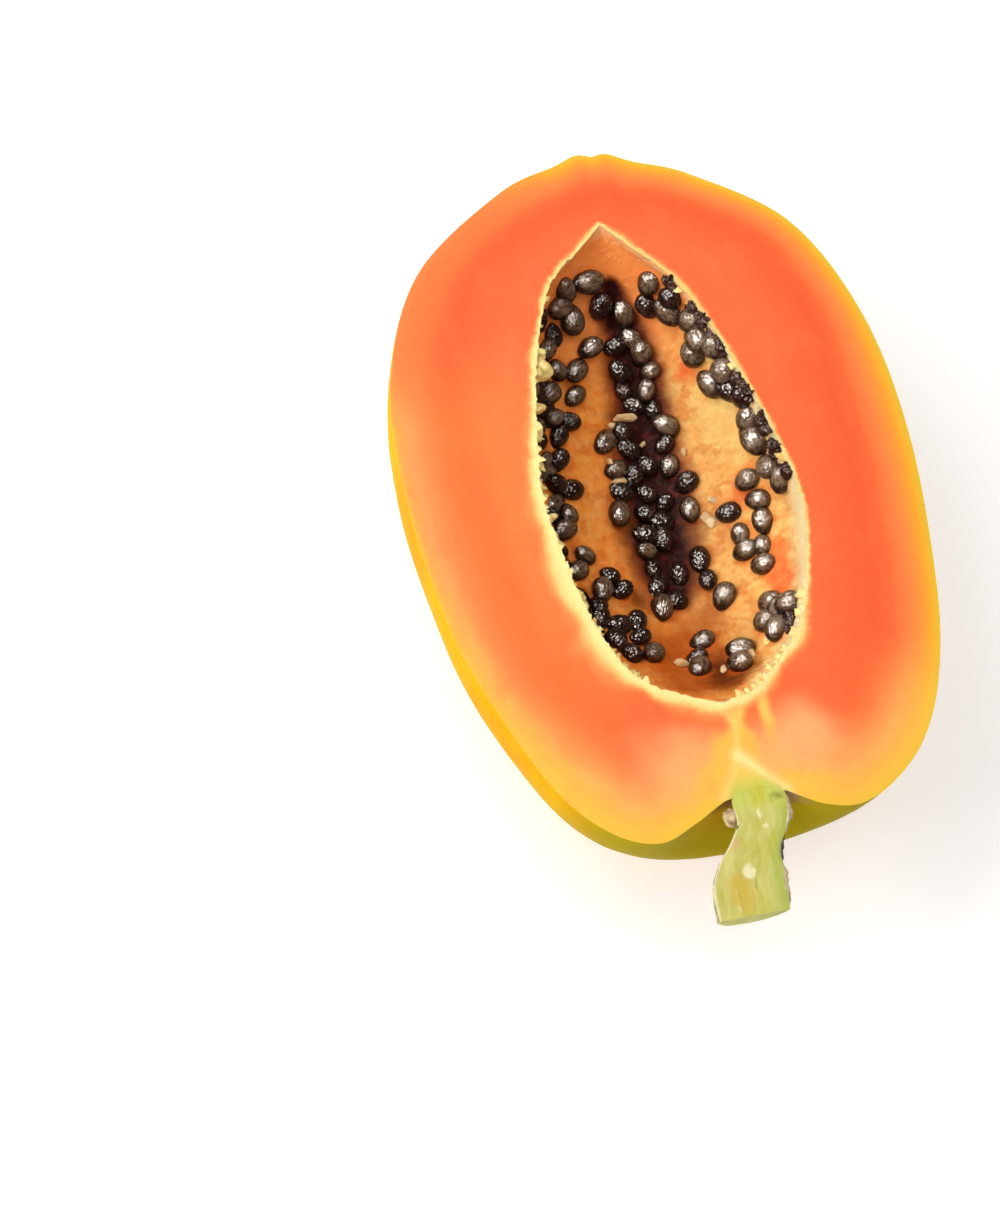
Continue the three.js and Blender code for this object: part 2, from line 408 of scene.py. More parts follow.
def tone(red: int, green: int, blue: int) -> Colour:
    """A colour as the eye names it, from 0 to 255, in the shaders' own linear scale."""
    def linear(part: int) -> float:
        """One part of the colour in the linear scale."""
        share = part / 255
        return share / 12.92 if share <= 0.04045 else ((share + 0.055) / 1.055) ** 2.4

    return (linear(red), linear(green), linear(blue), 1.0)


def soft(weight: float, *radius: float) -> dict[str, Any]:
    """Sockets that let light in under a surface: how much of it, and how many millimetres by colour."""
    return {"Subsurface_Weight": weight, "Subsurface_Radius": radius, "Subsurface_Scale": MM}


class Value:
    """A socket that takes part in sums: each sum adds a Math node."""

    def __init__(self, graph: Graph, socket: bpy.types.NodeSocket) -> None:
        """Wraps one output socket of a graph."""
        self.graph = graph
        self.socket = socket

    def __add__(self, other: Operand) -> Value:
        """The sum of two values."""
        return self.graph.math("ADD", self, other)

    def __sub__(self, other: Operand) -> Value:
        """This value less another."""
        return self.graph.math("SUBTRACT", self, other)

    def __rsub__(self, other: Operand) -> Value:
        """Another value less this one."""
        return self.graph.math("SUBTRACT", other, self)

    def __mul__(self, other: Operand) -> Value:
        """The product of two values."""
        return self.graph.math("MULTIPLY", self, other)

    def __truediv__(self, other: Operand) -> Value:
        """This value over another."""
        return self.graph.math("DIVIDE", self, other)

    __radd__ = __add__
    __rmul__ = __mul__


Operand = Value | float


class Graph:
    """The node tree of one material, with its coordinates in the fruit's own millimetres."""

    def __init__(self, name: str, axes: FruitAxes) -> None:
        """Starts an empty material.

        Args:
            name: the material's name.
            axes: where the fruit lies.
        """
        self.material = bpy.data.materials.new(name)
        self.material.use_nodes = True
        self.tree = self.material.node_tree
        self.tree.nodes.clear()
        self.axes = axes
        place = self.node("TexCoord", output="Object")
        scale = (1 / MM, 1 / MM, 1 / MM)
        self.position = self.vector("MULTIPLY_ADD", place, scale, tuple(-axes.origin))

    def node(
        self,
        kind: str,
        settings: dict[str, Any] | None = None,
        sockets: dict[int | str, Any] | None = None,
        output: int | str = 0,
    ) -> Value:
        """Adds any node.

        Args:
            kind: its type without the "ShaderNode" that all types start with.
            settings: its settings, set before its sockets; "stops" are a ramp's stops.
            sockets: a value or a link for each input socket, by name or number.
            output: the output socket that is wanted.

        Returns:
            That output socket.
        """
        made = self.tree.nodes.new("ShaderNode" + kind)
        for name, setting in (settings or {}).items():
            if name == "stops":
                self._set_stops(made.color_ramp, setting)
            else:
                setattr(made, name, setting)
        for name, value in (sockets or {}).items():
            if isinstance(value, Value):
                self.tree.links.new(value.socket, made.inputs[name])
            else:
                made.inputs[name].default_value = value
        return Value(self, made.outputs[output])

    @staticmethod
    def _set_stops(ramp: bpy.types.ColorRamp, stops: Sequence[tuple[float, Colour]]) -> None:
        """Gives a ramp its stops, each a place from 0 to 1 and a colour."""
        while len(ramp.elements) < len(stops):
            ramp.elements.new(1.0)
        for element, (place, colour) in zip(ramp.elements, stops):
            element.position = place
            element.color = colour

    def math(self, operation: str, *operands: Operand) -> Value:
        """One Math node on values and numbers."""
        return self.node("Math", {"operation": operation}, dict(enumerate(operands)))

    def vector(self, operation: str, *operands: Any) -> Value:
        """One Vector Math node on vectors."""
        return self.node("VectorMath", {"operation": operation}, dict(enumerate(operands)))

    def along(self, axis: int) -> Value:
        """The position along one of the fruit's axes, in millimetres."""
        return self.node("SeparateXYZ", sockets={0: self.position}, output=axis)

    def field(self, name: str) -> Value:
        """A named value that the mesh carries."""
        return self.node("Attribute", {"attribute_name": name}, output="Fac")

    def ease(self, low: float, high: float, value: Operand) -> Value:
        """A smooth step from 0 at low to 1 at high."""
        sockets = {"Value": value, "From Min": low, "From Max": high}
        return self.node("MapRange", {"interpolation_type": "SMOOTHSTEP"}, sockets)

    def speckle(
        self,
        size: float,
        detail: float = 2.0,
        stretch: Sequence[float] = (1, 1, 1),
        shift: float = 0.0,
        place: Value | None = None,
    ) -> Value:
        """Noise from 0 to 1 about 0.5.

        Args:
            size: how wide a speckle is, in millimetres.
            detail: how many finer layers it has.
            stretch: how much longer a speckle is along each axis.
            shift: moves the noise, so that two uses of it differ.
            place: the position that it is drawn on, if not the plain one.

        Returns:
            The noise's value.
        """
        scale = tuple(1 / (size * part) for part in stretch)
        moved = self.vector("MULTIPLY_ADD", place or self.position, scale, (shift, shift, shift))
        return self.node("TexNoise", sockets={"Vector": moved, "Scale": 1.0, "Detail": detail})

    def cells(self, size: float) -> Value:
        """Distance from the middle of the nearest of scattered cells, over the cells' size."""
        sockets = {"Vector": self.position, "Scale": 1 / size}
        return self.node("TexVoronoi", {"feature": "F1"}, sockets, output="Distance")

    def wandering(self, size: float, reach: float, detail: float = 3.0) -> Value:
        """The position, moved about.

        Args:
            size: how wide the swells of the move are, in millimetres.
            reach: how far the move goes.
            detail: how many finer layers it has.

        Returns:
            The moved position.
        """
        place = self.vector("MULTIPLY", self.position, (1 / size,) * 3)
        sockets = {"Vector": place, "Scale": 1.0, "Detail": detail}
        swells = self.node("TexNoise", sockets=sockets, output="Color")
        centred = self.vector("SUBTRACT", swells, (0.5, 0.5, 0.5))
        return self.vector("MULTIPLY_ADD", centred, (2 * reach,) * 3, self.position)

    def near(
        self, centre: Sequence[float], reach: Sequence[float], place: Value | None = None
    ) -> Value:
        """A soft spot.

        Args:
            centre: its middle, in millimetres.
            reach: how far it reaches along each axis.
            place: the position that it is drawn on, if not the plain one.

        Returns:
            1 in the middle and 0 past its reach.
        """
        scale = tuple(1 / part for part in reach)
        offset = tuple(-middle / part for middle, part in zip(centre, reach))
        scaled = self.vector("MULTIPLY_ADD", place or self.position, scale, offset)
        settings = {"operation": "LENGTH"}
        length = self.node("VectorMath", settings, {0: scaled}, output="Value")
        return 1 - self.ease(0.0, 1.0, length)

    def spots(self, place: Value, *spots: tuple[Sequence[float], Sequence[float], float]) -> Value:
        """The sum of soft spots on a position, each with its middle, its reach and its strength."""
        found = [self.near(centre, reach, place) * strength for centre, reach, strength in spots]
        return sum(found[1:], found[0])

    def ramp(self, value: Operand, *stops: tuple[float, Colour]) -> Value:
        """A colour that changes with a value.

        Args:
            value: what the colour follows.
            *stops: values in rising order, each with its colour.

        Returns:
            The colour.
        """
        first, last = stops[0][0], stops[-1][0]
        span = last - first
        scaled = [((place - first) / span, colour) for place, colour in stops]
        return self.node("ValToRGB", {"stops": scaled}, {0: (value - first) / span})

    def mix(self, colour: Value | Colour, other: Value | Colour, share: Operand) -> Value:
        """A colour with a share of another in it."""
        sockets = {0: share, 6: colour, 7: other}
        return self.node("Mix", {"data_type": "RGBA"}, sockets, output=2)

    def layered(self, colour: Value | Colour, *layers: tuple[Value | Colour, Operand]) -> Value:
        """A colour with others laid over it in order, each with the share that it covers."""
        for other, share in layers:
            colour = self.mix(colour, other, share)
        return colour

    def bump(self, height: Value, depth: float, base: Value | None = None) -> Value:
        """Small relief on the surface.

        Args:
            height: the relief, from 0 to 1.
            depth: how deep it goes, in millimetres.
            base: a relief that this one lies on.

        Returns:
            The surface's normal.
        """
        sockets: dict[int | str, Any] = {"Height": height, "Distance": depth * MM}
        if base is not None:
            sockets["Normal"] = base
        return self.node("Bump", sockets=sockets)

    def surface(self, **sockets: Any) -> bpy.types.Material:
        """Ends the material with one Principled shader.

        Args:
            **sockets: its sockets' values and links; _ stands for a space in a name.

        Returns:
            The material.
        """
        named = {name.replace("_", " "): value for name, value in sockets.items()}
        shader = self.node("BsdfPrincipled", sockets=named)
        end = self.tree.nodes.new("ShaderNodeOutputMaterial")
        self.tree.links.new(shader.socket, end.inputs["Surface"])
        return self.material


# ---- finishes -----------------------------------------------------------------------------------

FAINT_SHINE = 0.012  # the specular level of skin and pulp
HEART = tone(202, 204, 92)  # the green tissue where the stem meets the flesh
OLIVE = tone(198, 184, 38)  # its darkest part


@dataclass(frozen=True)
class SkinFinish:
    """Ripe skin: thin, yellow and a little waxy, olive towards the stem, and brown round its seat,
    which is partly scarred skin and partly painted shade beside the stem.
    """

    ripe: Colour = tone(218, 166, 4)
    golden: Colour = tone(228, 150, 4)
    green: Colour = tone(166, 150, 2)
    # Brown of the scarring at the seat and the tip; round the seat it is also painted shade.
    scar_and_shade: Colour = tone(124, 90, 46)
    pink_scar: Colour = tone(158, 124, 98)
    dot: Colour = tone(206, 146, 10)

    def material(self, axes: FruitAxes) -> bpy.types.Material:
        """Makes the skin's material for a fruit that lies on the given axes."""
        graph = Graph("ripe_skin", axes)
        across, along = graph.along(0), graph.along(1)
        wander = graph.speckle(24, 3) - 0.5
        blush = graph.ease(0.42, 0.68, graph.speckle(30, 3, shift=7.0))
        unripe = 1 - graph.ease(-7, 9, along + wander * 14)
        streaks = graph.ease(0.56, 0.78, graph.speckle(2.2, 4, (1, 9, 1)))
        dots = 1 - graph.ease(0.10, 0.22, graph.cells(3.4))
        # Partly the seat's scarring, partly painted shade beside the stem: darker brown on the left,
        # pinker on the right.
        seat = graph.near((0, -2, 0), (20, 9, 15)) + (graph.speckle(3, 4) - 0.5) * 0.7
        scar_and_shade = graph.ease(0.22, 0.62, seat)
        tip = graph.ease(0.35, 0.7, graph.near((0, 164, 0), (7, 5, 7)) + wander * 0.4)
        colour = graph.layered(
            self.ripe,
            (self.golden, blush),
            (self.green, unripe * 0.9),
            (self.green, streaks * 0.16),
            (self.dot, dots * 0.45),
            (graph.mix(self.scar_and_shade, self.pink_scar, graph.ease(-3, 6, across)), scar_and_shade * 0.9),
            (self.scar_and_shade, tip * 0.75),
        )
        pores = graph.bump(graph.speckle(0.8, 3), 0.05)
        relief = graph.bump(1 - dots, 0.06, pores)
        relief = graph.bump(graph.speckle(9, 2) + scar_and_shade * graph.speckle(1.1, 4), 0.35, relief)
        return graph.surface(
            Base_Color=colour,
            Roughness=0.5 + scar_and_shade * 0.25 + (graph.speckle(5, 3) - 0.5) * 0.14,
            Normal=relief,
            Specular_IOR_Level=FAINT_SHINE,
            **soft(0.1, 2.0, 1.0, 0.1),
        )


@dataclass(frozen=True)
class CutFinish:
    """The wet cut face: yellow at the skin, coral in the flesh, cream where the lining starts.

    The flesh changes colour with its distance from the skin: one way on the right and round the
    tip, a paler way on the left, and slowest in the lobes beside the stem.
    """

    ripening: tuple[tuple[float, Colour], ...] = (
        (0.0, tone(234, 192, 54)),
        (1.0, tone(241, 186, 54)),
        (2.5, tone(250, 168, 50)),
        (5.0, tone(252, 150, 66)),
        (8.0, tone(252, 132, 70)),
        (12.0, tone(250, 107, 60)),
        (16.0, tone(251, 99, 55)),
        (22.0, tone(251, 105, 59)),
        (30.0, tone(251, 113, 65)),
    )
    paler_ripening: tuple[tuple[float, Colour], ...] = (
        (0.0, tone(246, 188, 60)),
        (1.2, tone(250, 164, 82)),
        (4.0, tone(250, 156, 90)),
        (7.5, tone(249, 138, 78)),
        (12.0, tone(250, 122, 62)),
        (17.0, tone(250, 119, 60)),
        (23.0, tone(251, 132, 69)),
        (32.0, tone(250, 138, 76)),
    )
    lobe_ripening: tuple[tuple[float, Colour], ...] = (
        (0.0, tone(238, 194, 62)),
        (1.5, tone(248, 194, 70)),
        (5.0, tone(250, 182, 80)),
        (8.0, tone(251, 176, 92)),
        (11.5, tone(250, 156, 84)),
        (15.0, tone(250, 132, 74)),
        (20.0, tone(250, 112, 62)),
        (28.0, tone(250, 108, 60)),
    )
    mottled: Colour = tone(252, 138, 82)
    deepened: Colour = tone(250, 106, 62)
    peach: Colour = tone(251, 186, 118)
    golden: Colour = tone(252, 192, 78)
    halo: Colour = tone(251, 172, 98)
    lining: Colour = tone(251, 206, 122)
    cream: Colour = tone(252, 230, 152)
    gold_cream: Colour = tone(253, 210, 126)
    vein: Colour = tone(253, 212, 112)
    bright_vein: Colour = tone(253, 236, 158)
    heart: Colour = HEART
    upper_heart: Colour = tone(236, 208, 96)
    olive: Colour = OLIVE

    def material(self, axes: FruitAxes) -> bpy.types.Material:
        """Makes the cut face's material for a fruit that lies on the given axes."""
        graph = Graph("cut_flesh", axes)
        across, along = graph.along(0), graph.along(1)
        wander = graph.speckle(26, 2) - 0.5
        mottle = graph.speckle(5, 4, shift=3.0) - 0.5
        skin_gap = graph.field("from_skin")
        ripeness = skin_gap * (1 + wander * 0.35) + mottle * 1.6 * graph.ease(1, 6, skin_gap)
        crown = graph.ease(96, 118, along)
        ripeness = ripeness * (1 + crown * 0.25 + graph.ease(118, 142, along) * 0.3)
        head_start = crown * (1 - graph.ease(-34, -6, across)) * 7.0
        ripeness = ripeness + head_start * (1 - graph.ease(0, 12, ripeness))
        leftward = (1 - graph.ease(-48, -14, across + wander * 14)) * (1 - graph.ease(94, 124, along))
        lobes = 1 - graph.ease(8, 36, along + wander * 10)
        low_left = leftward * (1 - graph.ease(40, 70, along)) * (1 - graph.ease(0, 9, skin_gap))
        colour = graph.layered(
            graph.ramp(ripeness, *self.ripening),
            (graph.ramp(ripeness, *self.paler_ripening), leftward),
            (graph.ramp(ripeness, *self.lobe_ripening), lobes),
            (self.golden, low_left * 0.6),
        )
        blotches = graph.speckle(7, 3, (1, 1.8, 1), shift=21.0)
        colour = graph.layered(
            self._foot(graph, colour),
            (self.mottled, graph.ease(0.5, 0.72, blotches) * 0.16),
            (self.deepened, graph.ease(0.5, 0.28, blotches) * 0.22 * leftward),
        )
        colour = self._lining(graph, colour, graph.field("from_hollow"))
        grain = graph.speckle(0.7, 4)
        colour = graph.mix(colour, self.mottled, graph.ease(0.5, 0.75, grain) * 0.14)
        relief = graph.bump(grain, 0.09)
        relief = graph.bump(graph.speckle(3.5, 3), 0.22, relief)
        return graph.surface(
            Base_Color=colour,
            Roughness=0.42 + (graph.speckle(2.4, 4) - 0.5) * 0.22,
            Normal=relief,
            Specular_IOR_Level=FAINT_SHINE,
            **soft(0.2, 2.4, 0.9, 0.4),
        )

    def _foot(self, graph: Graph, colour: Value) -> Value:
        """Adds the pale and golden flesh and the veins between the hollow and the stem.

        Args:
            graph: the material's graph.
            colour: the flesh's colour so far.

        Returns:
            The new colour.
        """
        loose = graph.wandering(12, 6, 1.0)
        closer = graph.wandering(6, 2.4, 1.0)
        patches = graph.spots(
            loose, ((-15, 10, 0), (24, 15, 12), 0.75), ((14, 12, 0), (19, 17, 12), 1.0)
        )
        flanks = graph.spots(
            closer,
            ((-8, 4, 0), (10, 8, 9), 1.0),
            ((-5, 10, 0), (5, 10, 9), 1.0),
            ((12, 0, 0), (15, 7, 9), 1.0),
            ((0, 12, 0), (5, 12, 9), 1.0),
            ((-0.4, 22, 0), (5, 6, 9), 1.0),
            ((7.2, 19, 0), (3.2, 11, 9), 0.8),
        )
        uneven = 0.45 + graph.speckle(2.5, 3) * 0.8
        heart = graph.layered(
            self.heart,
            (self.upper_heart, graph.ease(1.0, 5.5, graph.along(1))),
            (self.olive, graph.near((0.2, 0.6, 0), (2.8, 3.2, 3), closer) * 0.8),
        )
        return graph.layered(
            colour,
            (self.peach, graph.ease(0.0, 1.1, patches) * 0.9),
            (self.golden, graph.ease(0.0, 0.9, flanks) * 0.9),
            (self.vein, graph.field("vein") * uneven),
            (self.bright_vein, graph.field("bright_vein") * uneven),
            (heart, graph.field("heart") * (0.7 + uneven * 0.3)),
        )

    def _lining(self, graph: Graph, colour: Value, hollow_gap: Value) -> Value:
        """Adds the cream lining's edge round the hollow.

        Args:
            graph: the material's graph.
            colour: the flesh's colour so far.
            hollow_gap: the distance from the hollow's rim, in millimetres.

        Returns:
            The new colour.
        """
        across, along = graph.along(0), graph.along(1)
        ragged = graph.speckle(1.6, 4, shift=5.0) - 0.5
        place = (hollow_gap + ragged * 1.3) / graph.field("lining")
        rightward = graph.ease(-2, 12, across) * graph.ease(46, 62, along)
        plainness = 1 - graph.ease(116, 132, along) * 0.6
        return graph.layered(
            colour,
            (self.halo, (1 - graph.ease(0.6, 1.9, place)) * 0.75),
            (self.lining, 1 - graph.ease(0.5, 1.2, place)),
            (
                graph.mix(self.cream, self.gold_cream, rightward),
                (1 - graph.ease(0.2, 0.9, place)) * plainness,
            ),
        )


@dataclass(frozen=True)
class HollowFinish:
    """The hollow's wall: wet pulp, lighter and gold-grained on the right, partly as painted light
    where the key light falls, with a painted pool of light on the right wall towards the tip;
    deeper orange on the left, coral in the blossom tip, amber in the foot with painted shade in its
    lower right, and nearly black in the furrow that most seeds lie in, partly dark juice and partly
    painted shade between the seeds.
    """

    bright: Colour = tone(254, 180, 94)
    # Gold of the wall's grain, also laid on as a painted pool of light.
    grain_and_lit_gold: Colour = tone(255, 216, 130)
    orange: Colour = tone(250, 150, 60)
    deep: Colour = tone(222, 100, 28)
    amber: Colour = tone(184, 80, 18)
    # Painted shade: dark brown in the foot's lower right and between the seeds left of the furrow's
    # foot.
    shade_umber: Colour = tone(100, 42, 10)
    cream: Colour = tone(255, 238, 182)
    # Brown that is partly the seeds' juice staining and partly painted shade round the seeds and along
    # the furrow's edge.
    stained: Colour = tone(128, 50, 20)
    # The furrow's wine and near-black: partly dark juice, partly painted shade between the seeds.
    furrow: Colour = tone(98, 30, 27)
    darkest: Colour = tone(42, 14, 17)
    flushed: Colour = tone(250, 108, 52)
    tip: Colour = tone(255, 148, 76)

    def material(self, axes: FruitAxes) -> bpy.types.Material:
        """Makes the hollow wall's material for a fruit that lies on the given axes."""
        graph = Graph("hollow_wall", axes)
        across, along = graph.along(0), graph.along(1)
        depth = graph.field("depth")
        cloud = graph.speckle(7, 4)
        pulp = graph.speckle(1.5, 4, shift=2.0)
        grain = graph.speckle(2.2, 4, (1, 1, 2.4), 17.0)
        streaks = graph.speckle(3.4, 4, (1, 1, 1.8), 31.0)
        # Partly the pulp's own lighter tone and partly painted light: the right wall, where the key
        # light falls, is lighter and more gold-grained.
        rightward = graph.ease(-2, 14, across + (cloud - 0.5) * 18)
        upper = 1 - graph.ease(10, 26, depth)
        golden = graph.ease(0.34, 0.66, grain) * (0.2 + rightward * 0.3 + rightward * upper * 0.45)
        tip = graph.ease(108, 126, along + (cloud - 0.5) * 10)
        reach = 3.4 + rightward * (1 - tip) * 9.0
        edge = 1 - graph.ease(0.1, 1.0, (depth + (pulp - 0.5) * 5) / reach)
        loose = graph.wandering(8, 5)
        # A painted pool of light on the right wall towards the tip, in the grain's gold.
        sunlit = graph.near((22, 98, -17), (11, 15, 11), loose)
        flush = graph.spots(
            loose,
            ((26, 54, -14), (8, 15, 11), 1.0),
            ((24, 80, -20), (9, 10, 12), 0.6),
            ((17, 112, -16), (6, 7, 7), 0.8),
        )
        foot = graph.ease(0.0, 0.7, graph.spots(
            loose, ((1, 36, -22), (22, 27, 24), 1.0), ((10, 54, -27), (11, 11, 9), 0.4)
        ))
        # Painted shade in the foot, laid on below in dark brown.
        shaded = graph.spots(
            loose, ((7, 34, -16), (12, 15, 14), 1.0), ((-6, 59, -29), (9, 10, 8), 0.8)
        )
        # Partly the seeds' juice staining, partly painted contact shade, strongest next to each seed.
        stain = graph.field("stain")
        # The furrow is laid on as colour: partly dark juice, partly painted shade of the deep band
        # between its seeds.
        sunk = graph.field("furrow") + (cloud - 0.5) * 0.4
        wine = graph.mix(self.furrow, self.darkest, graph.ease(0.38, 0.56, grain + sunk * 0.1))
        colour = graph.layered(
            self.orange,
            (self.bright, rightward),
            (self.bright, graph.ease(0.5, 0.7, cloud) * 0.45),
            (self.grain_and_lit_gold, golden),
            (self.deep, (1 - graph.ease(0.36, 0.5, streaks)) * 0.45),
            (self.deep, (1 - graph.ease(0.32, 0.48, pulp)) * 0.25),
            (self.tip, tip * 0.85),
            (self.cream, edge * (0.95 - tip * 0.55)),
            (self.grain_and_lit_gold, graph.ease(0.0, 0.8, sunlit) * 0.6),
            (self.flushed, graph.ease(0.1, 0.8, flush) * 0.8),
            (self.amber, foot * 0.85),
            (self.shade_umber, graph.ease(0.1, 0.9, shaded) * 0.9),
            # Darker orange and brown round the seeds: partly staining, partly painted contact shade.
            (self.deep, graph.ease(0.1, 0.8, stain + (cloud - 0.5)) * 0.5),
            (self.stained, graph.ease(0.7, 1.0, stain) * (0.5 + foot * 0.4)),
            (self.stained, graph.ease(0.06, 0.5, sunk) * 0.85),
            (wine, graph.ease(0.36, 0.68, sunk) * 0.96),
        )
        relief = graph.bump(graph.speckle(0.5, 3), 0.10)
        relief = graph.bump(pulp, 0.45, relief)
        return graph.surface(
            Base_Color=colour,
            Roughness=0.5 + (pulp - 0.5) * 0.3,
            Normal=relief,
            Specular_IOR_Level=FAINT_SHINE,
            **soft(0.15, 2.0, 0.8, 0.3),
        )


@dataclass(frozen=True)
class SeedFinish:
    """A seed's own wrinkled shell."""

    name: str = "seed_shell"
    dark: Colour = tone(36, 22, 16)
    light: Colour = tone(118, 98, 80)
    share: float = 0.7
    roughness: float = 0.1
    shine: float = 0.5

    def material(self, axes: FruitAxes) -> bpy.types.Material:
        """Makes the shell's material for a fruit that lies on the given axes."""
        graph = Graph(self.name, axes)
        net = graph.speckle(0.9, 4)
        patch = graph.ease(0.40, 0.66, graph.speckle(3.0, 3, shift=4.0))
        wrinkle = graph.ease(0.40, 0.62, net)
        colour = graph.mix(self.dark, self.light, patch * wrinkle * self.share)
        relief = graph.bump(graph.cells(0.7), 0.28)
        relief = graph.bump(graph.speckle(0.5, 2, shift=9.0), 0.16, relief)
        return graph.surface(
            Base_Color=colour,
            Roughness=self.roughness + patch * 0.1,
            Normal=relief,
            Specular_IOR_Level=self.shine,
        )


@dataclass(frozen=True)
class CoatFinish:
    """The jelly coat round a seed: olive brown and clear, darkened low down as painted shade, and hazy
    on top, partly with the jelly's own milkiness and partly as a painted sheen.

    It is haziest on the right of the hollow, and clearest in the furrow.
    """

    # The hazy tone is partly the jelly's milkiness and partly painted sheen; the dark tone is painted
    # shade on the coat's lower sides, and also the wrinkles' own dark lines.
    haze_and_sheen: Colour = tone(164, 140, 116)
    brown: Colour = tone(104, 76, 54)
    dark: Colour = tone(40, 25, 18)

    def material(self, axes: FruitAxes) -> bpy.types.Material:
        """Makes the coat's material for a fruit that lies on the given axes."""
        graph = Graph("seed_coat", axes)
        crown = graph.field("crown")
        cloud = graph.speckle(1.6, 4, shift=4.0)
        lengthwise = {number: graph.field(name) for number, name in enumerate(("long", "side", "top"))}
        local = graph.node("CombineXYZ", sockets=lengthwise)
        wrinkles = graph.speckle(0.62, 2, (2.4, 1, 1), place=local)
        haze_and_sheen_share = 0.35 + graph.ease(4, 16, graph.along(0) + (cloud - 0.5) * 8) * 0.6
        # Painted shade and sheen: dark where the coat faces away from the side that looks up and out of
        # the hollow, hazy where it faces that side.
        top = graph.ease(0.45, 1.0, crown + (cloud - 0.5) * 0.9)
        colour = graph.layered(
            self.dark,
            (self.brown, graph.ease(0.2, 0.75, crown + (cloud - 0.5) * 0.6)),
            (self.haze_and_sheen, top * haze_and_sheen_share),
            (self.dark, graph.ease(0.5, 0.36, wrinkles) * 0.7),
            # Painted highlight: light strokes along the wrinkles on the coat's top.
            (self.haze_and_sheen, graph.ease(0.54, 0.68, wrinkles) * top * 0.7),
        )
        relief = graph.bump(graph.speckle(1.5, 2, shift=5.0), 0.4)
        relief = graph.bump(wrinkles, 0.36, relief)
        return graph.surface(
            Base_Color=colour,
            Roughness=0.04 + cloud * 0.05,
            Normal=relief,
            IOR=1.40,
            Transmission_Weight=0.3,
        )


@dataclass(frozen=True)
class PulpFinish:
    """Torn lining and the pale stalks that the seeds hang from."""

    cream: Colour = tone(252, 228, 148)
    peach: Colour = tone(251, 196, 110)
    name: str = "torn_lining"

    def material(self, axes: FruitAxes) -> bpy.types.Material:
        """Makes the pulp's material for a fruit that lies on the given axes."""
        graph = Graph(self.name, axes)
        cloud = graph.speckle(2.2, 4)
        return graph.surface(
            Base_Color=graph.mix(self.cream, self.peach, graph.ease(0.42, 0.66, cloud)),
            Roughness=0.55 + (cloud - 0.5) * 0.3,
            Normal=graph.bump(graph.speckle(0.6, 3), 0.2),
            Specular_IOR_Level=0.08,
            **soft(0.2, 2.0, 1.0, 0.5),
        )


@dataclass(frozen=True)
class StemCutFinish:
    """The stem's moist fibrous cut face, whose fibres follow the stem's bend."""

    green: Colour = tone(190, 184, 76)
    pale: Colour = tone(206, 198, 112)
    edge: Colour = tone(166, 178, 68)
    yellow: Colour = tone(206, 174, 66)
    heart: Colour = HEART
    olive: Colour = OLIVE
    shade: Colour = tone(128, 134, 50)
    white: Colour = tone(236, 230, 180)
    tan: Colour = tone(204, 172, 116)
    brown: Colour = tone(78, 50, 26)

    def material(self, axes: FruitAxes) -> bpy.types.Material:
        """Makes the cut stem's material for a fruit that lies on the given axes."""
        graph = Graph("cut_stem", axes)
        across, along = graph.along(0), graph.along(1)
        bend = graph.node("CombineXYZ", sockets={0: graph.field("bend")})
        straight = graph.vector("SUBTRACT", graph.position, bend)
        fibres = graph.speckle(1.1, 3, (1, 7, 1), place=straight)
        cloud = graph.speckle(3.6, 3, (1, 2.2, 1), 6.0, straight)
        flecks = graph.speckle(1.3, 3, (1, 2.6, 1), 9.0, straight)
        margin = graph.field("margin")
        place = graph.wandering(2.2, 1.3)
        right_edge = graph.ease(0.35, 0.95, margin + (cloud - 0.5) * 0.5) * graph.ease(-5, 1, across)
        leftmost = graph.ease(0.92, 0.97, margin) * (1 - graph.ease(-5, -3, across))
        patch = graph.near((-9.2, -21.5, 0), (5.4, 8, 3), place)
        pith = graph.spots(
            place,
            ((-6.4, -17.0, 0), (2.3, 2.8, 3), 1.0),
            ((-0.9, -4.2, 0), (1.1, 2.6, 3), 0.7),
            ((0.2, -7.2, 0), (1.0, 1.4, 3), 0.6),
        )
        worn = graph.near((-8.2, -9.5, 0), (1.8, 4.4, 3), place)
        split = graph.spots(
            place, ((-6.8, -6.4, 0), (1.5, 1.2, 3), 1.0), ((-5.6, -19.8, 0), (0.6, 3.0, 3), 0.35)
        )
        colour = graph.layered(
            self.green,
            (self.pale, graph.ease(0.34, 0.66, cloud)),
            (self.edge, right_edge * 0.8),
            (self.pale, graph.ease(0.45, 0.85, fibres) * 0.16),
            (self.yellow, graph.ease(0.0, 0.9, patch) * 0.9),
            (self.white, graph.ease(0.58, 0.82, flecks) * 0.35),
            (self.white, graph.ease(0.05, 0.75, pith) * 0.9),
            (self.tan, graph.ease(0.1, 0.6, worn) * 0.8),
            (self.white, leftmost * 0.8),
            (self.brown, graph.ease(0.1, 0.6, split) * 0.85),
            (self.heart, graph.ease(-4.5, -0.5, along)),
            (self.olive, graph.near((0.2, -0.4, 0), (3.0, 3.6, 3), place) * 0.8),
            (self.shade, graph.near((5.0, -1.0, 0), (3.2, 1.8, 3), place) * 0.8),
        )
        relief = graph.bump(fibres, 0.06)
        return graph.surface(
            Base_Color=colour,
            Roughness=0.5 + (cloud - 0.5) * 0.3,
            Normal=graph.bump(cloud, 0.15, relief),
            Specular_IOR_Level=0.1,
            **soft(0.15, 1.5, 1.5, 0.5),
        )


